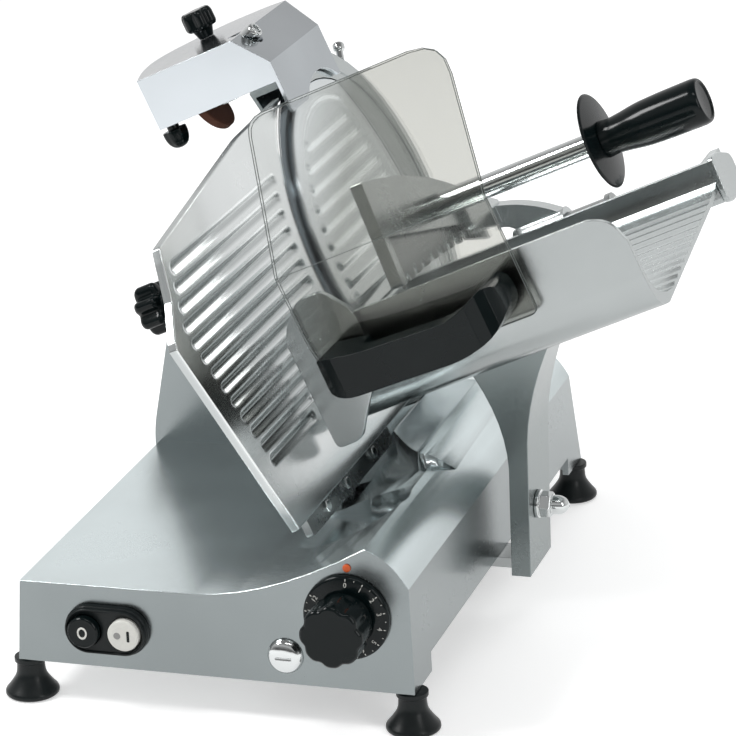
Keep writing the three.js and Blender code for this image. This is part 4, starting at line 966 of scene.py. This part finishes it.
@dataclass
class SwitchStation:
    """The oval boot with the stop and the start button, their ring, dot and bar marks."""

    centre: Pair = (72.5, 62.0)
    straight: float = 13.5
    inner: float = 15.3
    spacing: float = 31.0
    well: float = 12.6
    well_lip: float = 6.8
    well_floor: float = 0.7
    panel: float = 7.4
    rim: tuple = ((0, 0), (0.15, 1.0, 0.3), (0.9, 1.6, 0.5), (1.6, 1.45, 0.4), (2.1, 0.6, 0.3), (2.2, -2.0, 0.2),
                  (2.9, -2.3, 0.5), (3.2, -3.2, 0.4), (3.2, -7.0))
    stop: tuple = ((0, 3.4), (12, 3.4), (12, 12.2, 1.2), (10.7, 13.5, 0.8), (9.6, 13.2, 0.4), (0, 13.2))
    start: tuple = ((0, 3.4), (12, 3.4), (12, 11.4, 1.0), (11.0, 12.2, 0.6), (0, 12.2))
    ring: tuple = ((3.1, 13.1), (3.1, 13.35), (4.8, 13.35), (4.8, 13.1))
    ring_squash: Pair = (0.8, 1.0)
    dot: tuple = ((0, 12.1), (2.6, 12.1), (2.6, 12.35), (0, 12.35))
    dot_aside: float = -4.3
    bar: tuple = ((0, 12.1), (4.2, 12.1), (4.2, 12.35), (0, 12.35))
    bar_aside: float = 4.2
    bar_squash: Pair = (0.25, 1.0)

    def into_well(self, angle: Array) -> tuple[Array, Array, Array]:
        """The rows down a well's wall and over its floor to its middle: across, up and along at each angle."""
        wall = np.array([[self.well, self.well_lip], [self.well, self.well_floor], [0.0, self.well_floor]])
        return (wall[:, :1] * np.cos(angle) - self.spacing / 2, wall[:, :1] * np.sin(angle), wall[:, 1:] + 0 * angle)

    def half(self, mirror: int) -> list[tuple[Array, bool]]:
        """One half of the boot as grids.

        A ray from the well's centre meets the inner oval at the distance d cos + sqrt(r^2 - d^2 sin^2) on the round
        end, where d is how far that centre lies beyond the end's, and at r / |sin| on the straight edge. The rim
        stands outside of the oval along its outward direction, and its back runs in to the oval's middle line.

        Args:
            mirror: 1 for the left half, -1 for the right.

        Returns:
            The grids and whether they close in a ring.
        """
        s, r = self.spacing / 2, self.inner
        offset = s - self.straight
        corner = math.atan2(r, s)
        centre = (self.centre[0], 0.0, self.centre[1])
        axis = Axis(places.machine, centre, (0, -1, 0), (mirror, 0, 0), (1.0, mirror))
        outer = np.linspace(corner, 2 * math.pi - corner, 97)
        reach = offset * np.cos(outer) + np.sqrt(r ** 2 - (offset * np.sin(outer)) ** 2)
        on_end = reach * np.cos(outer) < offset
        reach = np.where(on_end, reach, r / np.maximum(np.abs(np.sin(outer)), 1e-6))
        x, z = reach * np.cos(outer) - s, reach * np.sin(outer)
        normal = np.stack([np.minimum(x + self.straight, 0), z]) / r
        rim = rounded(self.rim)[::-1]
        across = x + rim[:, :1] * normal[0]
        up = z + rim[:, :1] * normal[1]
        place = self.panel + rim[:, 1:] + 0 * across
        middle = (np.clip(x, -self.straight, 0)[None], 0 * x[None], place[:1])
        border = axis.spots(*map(np.concatenate, zip(middle, (across, up, place), self.into_well(outer))))
        inward = np.linspace(-corner, corner, 25)
        line = (0 * inward[None], s * np.tan(inward)[None], self.panel + 0 * inward[None])
        between = axis.spots(*map(np.concatenate, zip(line, self.into_well(inward))))
        return [(border, False), (between, False)]

    def build(self) -> None:
        """Makes the boot, both buttons and their marks."""
        stand_in("switch_boot", sheet_mesh("switch_boot", self.half(1) + self.half(-1), 50))
        x, z = self.centre
        left, right = x - self.spacing / 2, x + self.spacing / 2
        lathe("stop_button", front_axis(left, z), self.stop)
        lathe("start_button", front_axis(right, z), self.start)
        ring = turned("stop_mark", front_axis(left, z, self.ring_squash), self.ring)
        link_piece("stop_mark", ring, Body.STOP, "white_plastic")
        dot = turned("start_dot", front_axis(right + self.dot_aside, z), self.dot)
        link_piece("start_dot", dot, Body.START, "white_plastic", finish=MARK_GREY)
        bar = turned("start_bar", front_axis(right + self.bar_aside, z, self.bar_squash), self.bar, factor=squared(8))
        link_piece("start_bar", bar, Body.START, "black_plastic")


@dataclass
class ThicknessDial:
    """The graduated flange, its numerals and ticks, the lobed knob and the index dot."""

    centre: Pair = (256.0, 88.0)
    flange: tuple = ((5.3, 0.6), (32, 0.6, 0.4), (32, 4.0, 1.0), (30.6, 5.2, 0.8), (22, 6.8, 1), (5.3, 7), (5.3, 0.6))
    knob: tuple = ((0, 7.3), (20.5, 7.3, 0.4), (18.6, 15.2, 0.6), (22.6, 15.9, 0.5), (23.5, 17.6, 1.2),
                   (23.5, 39.6, 1.4), (21.6, 41.3, 0.8), (0, 41.3))
    lobes: int = 8
    lobe_depth: float = 0.085
    lobes_from: float = 15.5
    face_edge: Pair = (30.6, 5.2)
    face_top: Pair = (22.0, 6.8)
    last: int = 12
    step: float = 25.0
    first: float = 88.0
    numeral_at: float = 26.0
    numeral_size: float = 5.0
    numeral_rise: float = 0.06
    tick_end: float = 30.5
    tick_rise: Pair = (-0.1, 0.14)
    long_tick: Pair = (28.9, 0.33)
    short_tick: Pair = (29.6, 0.22)
    index_place: Pair = (257.0, 125.0)
    index: tuple = ((0, 0.3), (3, 0.3), (3, 1.2, 0.4), (1.8, 2, 0.6), (0, 2))

    def height(self, radius: Array) -> Array:
        """How far the flange's sloping face stands out at a radius."""
        slope = (self.face_top[1] - self.face_edge[1]) / (self.face_edge[0] - self.face_top[0])
        return self.face_edge[1] + (self.face_edge[0] - radius) * slope

    def numerals(self, axis: Axis) -> Mesh:
        """The numerals, each upright to its radius.

        A point of a numeral at angle a lies at ((r + y) cos a + x sin a, (r + y) sin a - x cos a).

        Args:
            axis: the dial's axis.

        Returns:
            One mesh of all numerals.
        """
        points, faces, start = [], [], 0
        for number in range(self.last + 1):
            flat, polygons = letters(str(number), self.numeral_size)
            angle = math.radians(self.first - self.step * number)
            radius = self.numeral_at + flat[:, 1]
            across = radius * math.cos(angle) + flat[:, 0] * math.sin(angle)
            up = radius * math.sin(angle) - flat[:, 0] * math.cos(angle)
            points.append(axis.spots(across, up, self.height(radius) + flat[:, 2] + self.numeral_rise))
            faces += [[start + i for i in polygon] for polygon in polygons]
            start += len(flat)
        mesh = bpy.data.meshes.new("dial_numerals")
        mesh.from_pydata(np.concatenate(points).tolist(), [], faces)
        return mesh

    def ticks(self, axis: Axis) -> Mesh:
        """Rim ticks at each numeral and shorter ones half way, as flat bars that follow the face."""
        grids, end = [], self.tick_end
        for half in range(2 * self.last + 1):
            angle = math.radians(self.first - self.step * half / 2)
            near, wide = self.short_tick if half % 2 else self.long_tick
            r = np.array([[near, near, end, end]] * 4)
            w = np.array([[-wide, wide, wide, -wide]] * 4)
            rise = np.repeat(self.tick_rise, 2)[:, None] + 0 * r
            r[[0, 3]], w[[0, 3]] = (near + end) / 2, 0.0
            grids.append((axis.spots(r * math.cos(angle) + w * math.sin(angle),
                                     r * math.sin(angle) - w * math.cos(angle), self.height(r) + rise), True))
        return sheet_mesh("dial_ticks", grids)

    def build(self) -> None:
        """Makes the dial's pieces."""
        axis = front_axis(*self.centre)
        lathe("dial_flange", axis, self.flange, 128)
        lathe("dial_knob", axis, self.knob, 160, factor=round_way(self.lobes, self.lobe_depth, 2),
              between=(self.lobes_from, 50))
        link_piece("dial_numerals", self.numerals(axis), Body.DIAL, "white_plastic")
        link_piece("dial_ticks", self.ticks(axis), Body.DIAL, "white_plastic")
        lathe("index_dot", front_axis(*self.index_place), self.index)


@dataclass
class Carriage:
    """The arm with its cap nut, the tray's rod, handle and end pieces, and dark bars of painted shade along the clear
    guard's edges.
    """

    nut: tuple = ((0, 0), (11, 0, 0.3), (11, 2.5, 0.5), (10, 3, 0.2), (10, 11, 0.8), (8.6, 12.3, 0.5), (7.5, 12.7),
                  (7.5, 17.5, 2), (5.8, 22, 3), (0, 26, 3))
    nut_place: Triple = (336.3, 227.0, 93.0)
    nut_flats: Pair = (2.9, 12.2)
    slide_rod: tuple = ((0, 10), (5.5, 10, 0.5), (5.5, 281, 0.5), (0, 281))
    handle_round: float = 0.0032
    sharp_angle: float = 0.7
    edge_radius: float = 0.00035
    any_way: Triple = (0.31, 0.72, 0.62)

    def round_handle(self, shape: Shape) -> None:
        """Rounds the handle's front border."""
        front = min(v.co.y for v in shape.verts)
        faces = [face for face in shape.faces if all(v.co.y < front + SAME_LEVEL for v in face.verts)]
        border = [e for e in {e for face in faces for e in face.edges} if sum(f in faces for f in e.link_faces) == 1]
        bevelled(shape, border, self.handle_round, 5)

    def guard_edge(self) -> Mesh:
        """Painted shade along the guard's edges: a thin dark square bar along each of its sharp edges, for the dark
        lines that its edges show.

        A bar's corners stand at the distance edge_radius round the line from a to b, at a + r (cos p + sin q), where
        p and q are square to the line, and its ends close on a and b. None leaves the solids' box.
        """
        shape = merged("finger_guard")
        sharp = [e for e in shape.edges if len(e.link_faces) == 2 and e.calc_face_angle() > self.sharp_angle]
        ends = np.array([[vert.co[:] for vert in e.verts] for e in sharp])
        shape.free()
        along = ends[:, 1] - ends[:, 0]
        along = along / np.linalg.norm(along, axis=1, keepdims=True)
        first = np.cross(along, np.array(self.any_way))
        first = first / np.linalg.norm(first, axis=1, keepdims=True)
        second = np.cross(along, first)
        angle = (np.arange(4) * math.pi / 2)[:, None]
        ring = np.cos(angle) * first[:, None] + np.sin(angle) * second[:, None]
        reach = np.array([0.0, 1.0, 1.0, 0.0])[None, :, None, None] * self.edge_radius
        rods = ends[:, [0, 0, 1, 1], None, :] + reach * ring[:, None]
        rods = np.clip(rods, np.array(cad_box[0]), np.array(cad_box[1]))
        return sheet_mesh("guard_edge", [(rod, True) for rod in rods], 30)

    def build(self) -> None:
        """Makes the carriage's pieces."""
        # dark bars of painted shade along the guard's edges
        link_piece("guard_edge", self.guard_edge(), Body.CARRIAGE, "clear_sheet", finish=EDGE_SHADE_GREY)
        lathe("arm_cap_nut", Axis(places.machine, self.nut_place, (1, 0, 0), (0, 1, 0)), self.nut, factor=flats(6),
              between=self.nut_flats)
        lathe("pusher_slide_rod", feed_axis(SLIDE_ROD_SPOT), self.slide_rod, 64)
        dressed("carriage_arm", edge=0.0015)
        dressed("tray_handle", 25.0, work=self.round_handle)
        dressed("tray_bracket", edge=0.0008)
        dressed("tray_rail_cap", edge=0.0009)


@dataclass
class Pusher:
    """The pusher's bright rod, bush, hand disc and grip, and its cast arm and plate."""

    rod_place: Triple = (0.0, -97.0, 8.0)
    rod: tuple = ((0, 94.3), (9, 94.3, 0.6), (9, 273, 0.6), (0, 273))
    disc: tuple = ((9.3, 236), (30, 237.4, 6), (36.4, 238.7, 1), (38, 239.6, 0.9), (36.4, 241.2, 1), (22, 242.5, 6),
                   (15, 243), (9.3, 243))
    grip: tuple = ((9.3, 243.3), (14.6, 243.3, 0.5), (13.8, 250, 3), (14.8, 260, 6), (17.2, 275, 8), (18, 296, 8),
                   (18.2, 322.5, 2), (17.6, 325.8, 1), (16.4, 327.2, 0.6), (14.6, 327.2, 0.4), (14.0, 326.0, 0.4),
                   (0, 325.6), (0, 274), (9.3, 274))
    bush: tuple = ((6.1, 103), (12.5, 103, 0.5), (12.5, 107.4, 0.5), (10, 107.4), (10, 185), (12.5, 185, 0.5),
                   (12.5, 190, 0.5), (6.1, 190))
    cast_edge: float = 0.0014

    def build(self) -> None:
        """Makes the pusher's pieces."""
        axis = feed_axis(self.rod_place)
        lathe("pusher_rod", axis, self.rod)
        lathe("pusher_disc", axis, self.disc, 128)
        lathe("pusher_grip", axis, self.grip)
        lathe("pusher_bush", feed_axis(SLIDE_ROD_SPOT), self.bush, 64)
        dressed("pusher_plate", edge=self.cast_edge)
        dressed("pusher_arm", edge=self.cast_edge)


@dataclass
class BladeGroup:
    """The round blade, its ribbed cover, the knob that holds the cover, and the stud on the ring guard."""

    blade: tuple = ((12, -5), (128.5, -5, 1), (137.5, -0.7), (137.5, -0.2), (126.5, -0.2, 0.5), (124, -2, 1),
                    (12, -2), (12, -5))
    knob: tuple = ((0, 186.3), (10, 186.3), (13, 194, 2), (20, 195.6, 1.5), (22, 198.5, 1.5), (22, 213.5, 3),
                   (18.5, 217, 2.5), (10, 216.8, 0.8), (9, 218, 0.5), (0, 218))
    lobes: int = 7
    lobe_depth: float = 0.27
    lobes_between: Pair = (194.8, 217.2)
    stud: tuple = ((0, 149.3), (3, 149.3), (3, 157, 0.8), (5, 158.6, 1), (5, 163.6, 1.2), (3.4, 165.2, 0.8), (0, 165.3))
    stud_angle: float = math.radians(37.0)
    cover: float = 122.0
    flank: Triple = (-128.0, -20.0, 223.0)
    cover_front: float = 4.0
    cover_back: float = -1.2
    cover_edge: float = 1.2
    dish: float = 1.6
    rim: float = 16.0
    boss: float = 14.5
    boss_rise: float = 3.5
    ribs: int = 10
    top: float = 84.0
    pitch: float = 15.0
    half: float = 6.6
    height: float = 2.6
    rib_gaps: Pair = (2.0, 4.0)

    def rib_lines(self) -> list[Triple]:
        """The middle line of each rib: its V and its two ends in U, inside the rim of the two circles."""
        lines = []
        inner = self.cover - self.rim - self.rib_gaps[0]
        middle_u, middle_v, reach = self.flank
        for index in range(self.ribs):
            line = self.top - index * self.pitch
            side = math.sqrt(max(inner ** 2 - line ** 2, 100))
            end = middle_u + math.sqrt((reach - self.rim - self.rib_gaps[1]) ** 2 - (line - middle_v) ** 2)
            start = self.half - side
            lines.append((line, start, max(min(end, side) - self.half, start)))
        return lines

    def blade_cover(self) -> None:
        """The cover as one closed sheet inside its two circles, with its dish, ribs and middle boss."""
        v = self.cover * np.sin(np.linspace(-math.pi / 2, math.pi / 2, 380))[:, None]
        middle_u, middle_v, reach = self.flank
        side = np.sqrt(np.maximum(self.cover ** 2 - v ** 2, 0))
        u = spread(-side, np.minimum(side, middle_u + np.sqrt(reach ** 2 - (v - middle_v) ** 2)), 130)
        border = np.minimum(self.cover - np.hypot(u, v), reach - np.hypot(u - middle_u, v - middle_v))
        sunk = np.clip((border - self.rim + 1.5) / 3, 0, 1)
        front = self.cover_front - self.dish * eased(sunk) - softened(border, self.cover_edge)
        front = front + bars(u, v, self.rib_lines(), self.half, self.height) * sunk
        boss = np.clip((self.boss - np.hypot(u, v)) / 1.5, 0, 1)
        front = front * (1 - boss) + self.boss_rise * boss
        pressed("blade_cover", u, v, front, self.cover_back + 0 * u)

    def build(self) -> None:
        """Makes the group's pieces."""
        self.blade_cover()
        lathe("blade", feed_axis(), self.blade, 256)
        lathe("tie_knob", feed_axis(out=(-1, 0, 0)), self.knob, 168,
              factor=round_way(self.lobes, self.lobe_depth, 1.4), between=self.lobes_between)
        out = (0, math.sin(self.stud_angle), math.cos(self.stud_angle))
        lathe("ring_stud", feed_axis(out=out, side=(1, 0, 0)), self.stud, 48)


@dataclass
class GaugeGroup:
    """The fluted gauge plate, and the bolts of its steel foot."""

    low: float = -131.0
    high: float = 128.0
    left: tuple = ((-131, -361), (26, -410), (33, -412), (38, -409), (62, -386), (88, -372), (98, -366), (100, -352),
                   (124, -160), (128, -56.7))
    arc: float = 140.0
    thickness: float = 6.5
    face_edge: float = 1.2
    hollow: float = 2.3
    hollow_border: float = 5.0
    hollow_run: float = 0.8
    flutes: int = 13
    top: float = 80.0
    pitch: float = 13.2
    half: float = 5.7
    depth: float = 2.6
    flute_left: float = -390.0
    corner: float = 36.0
    lean_above: float = 0.55
    lean_below: float = 0.31
    arc_gap: float = 12.0
    foot_from: float = -10.0
    foot_gap: float = 28.0
    foot_lean: float = 1.35
    bolt_spots: tuple = ((-291, -138), (-243, -138), (-176, -138))
    bolt: tuple = ((0, -7.2), (5, -7.2), (5, -4.0, 0.7), (4.2, -3.4, 0.4), (0, -3.4))

    def flute_lines(self) -> list[Triple]:
        """The middle line of each flute: its V and its two ends in U, beside the left border and the blade's arc."""
        lines = []
        for index in range(self.flutes):
            line = self.top - index * self.pitch
            above = line - self.corner
            start = self.flute_left + (above * self.lean_above if above > 0 else -above * self.lean_below)
            below = self.foot_gap - (line - self.foot_from) * self.foot_lean if line <= self.foot_from else 0
            arc = -math.sqrt((self.arc + self.arc_gap) ** 2 - line ** 2) - below
            lines.append((line, start + self.half, arc - self.half))
        return lines

    def plate(self) -> None:
        """The plate as one closed sheet between its left border and the blade's arc."""
        table = np.array(self.left, float)
        close = self.low + np.array([0, 0.3, 0.8])
        v = np.concatenate([close, np.linspace(self.low + 1.5, self.high, 340)])[:, None]
        low = np.interp(v, table[:, 0], table[:, 1])
        slope = np.gradient(low[:, 0], v[:, 0])[:, None]
        u = spread(low, -np.sqrt(self.arc ** 2 - v ** 2), 130)
        border = np.minimum(np.minimum((u - low) / np.sqrt(1 + slope ** 2), np.hypot(u, v) - self.arc), v - self.low)
        front = -bars(u, v, self.flute_lines(), self.half, self.depth) - softened(border, self.face_edge)
        back = -self.thickness + self.hollow * np.clip((border - self.hollow_border) / self.hollow_run, 0, 1)
        pressed("gauge_plate", u, v, front, back)

    def build(self) -> None:
        """Makes the plate and the bolts on the foot's face."""
        self.plate()
        for index, (u, v) in enumerate(self.bolt_spots):
            mesh = turned("foot_bolt", feed_axis((0, u, v)), self.bolt, 48, factor=flats(6))
            link_piece(f"foot_bolt_{index}", mesh, Body.GAUGE, "bright_steel")


@dataclass
class Sharpener:
    """The sharpener's wheels, knobs and push pin, and its sheet housing."""

    lean: float = math.radians(20.0)
    clamp_place: Triple = (-80, 46, 0)
    clamp: tuple = ((0, 184.3), (6, 184.3), (8.6, 191.6, 1), (12.6, 192.3, 0.8), (14, 194.5, 1.2), (14, 204.5, 2),
                    (12.2, 208, 1.6), (0, 208))
    lower_place: Triple = (-96, -53, 0)
    lower: tuple = ((0, -142.7), (5, -142.7), (5, -137), (10.5, -136.4, 0.8), (10.5, -131.5, 2), (9, -125.7, 3),
                    (5, -121.6, 2.5), (0, -120.7))
    pin_place: Triple = (-25, -34, 174)
    pin: tuple = ((0, -10), (4, -10), (4, 2), (7.5, 2, 0.3), (7.5, 5, 0.4), (6.9, 5.6, 0.3), (6.9, 21.6, 1),
                  (5.8, 24, 0.8), (4, 24, 0.3), (3.7, 21, 0.3), (0, 21))
    wheels: tuple = (("grinding_wheel", (-66, -36, 140), 22.0), ("honing_wheel", (-70, 50, 158), 14.0))

    def build(self) -> None:
        """Makes the sharpener's pieces."""
        lathe("clamp_knob", feed_axis(self.clamp_place, (0, 0, 1), (1, 0, 0)), self.clamp, 144,
              factor=round_way(6, 0.22, 1.4), between=(192, 209))
        lathe("lower_knob", feed_axis(self.lower_place, (0, 0, -1), (1, 0, 0)), self.lower,
              factor=round_way(8, 0.06), between=(-136.9, -124))
        out = (math.cos(self.lean), 0, math.sin(self.lean))
        lathe("push_pin", feed_axis(self.pin_place, out), self.pin, 64)
        for node, place, radius in self.wheels:
            lathe(node, feed_axis(place, out),
                  ((3.6, -4), (radius - 2, -4, 0.5), (radius, -2, 0.8), (radius, 3.3, 0.5), (radius - 2, 4, 0.5),
                   (3.6, 4), (3.6, -4)))
        dressed("sharpener_housing", edge=0.0008)


def main() -> None:
    """Builds the studio and dresses the object."""
    logging.basicConfig(level=logging.INFO, format="%(name)s: %(message)s")
    Studio().build()
    for node in sorted(frame["nodes"]):
        finishes.paint_node(node)
    for group in (BaseGroup(), SwitchStation(), ThicknessDial(), Carriage(), Pusher(), BladeGroup(), GaugeGroup(),
                  Sharpener()):
        group.build()
    made = {piece.name for piece in bpy.data.objects}
    for node in sorted(frame["nodes"]):
        if node + "_fine" not in made:
            dressed(node)


if __name__ == "__main__":
    main()
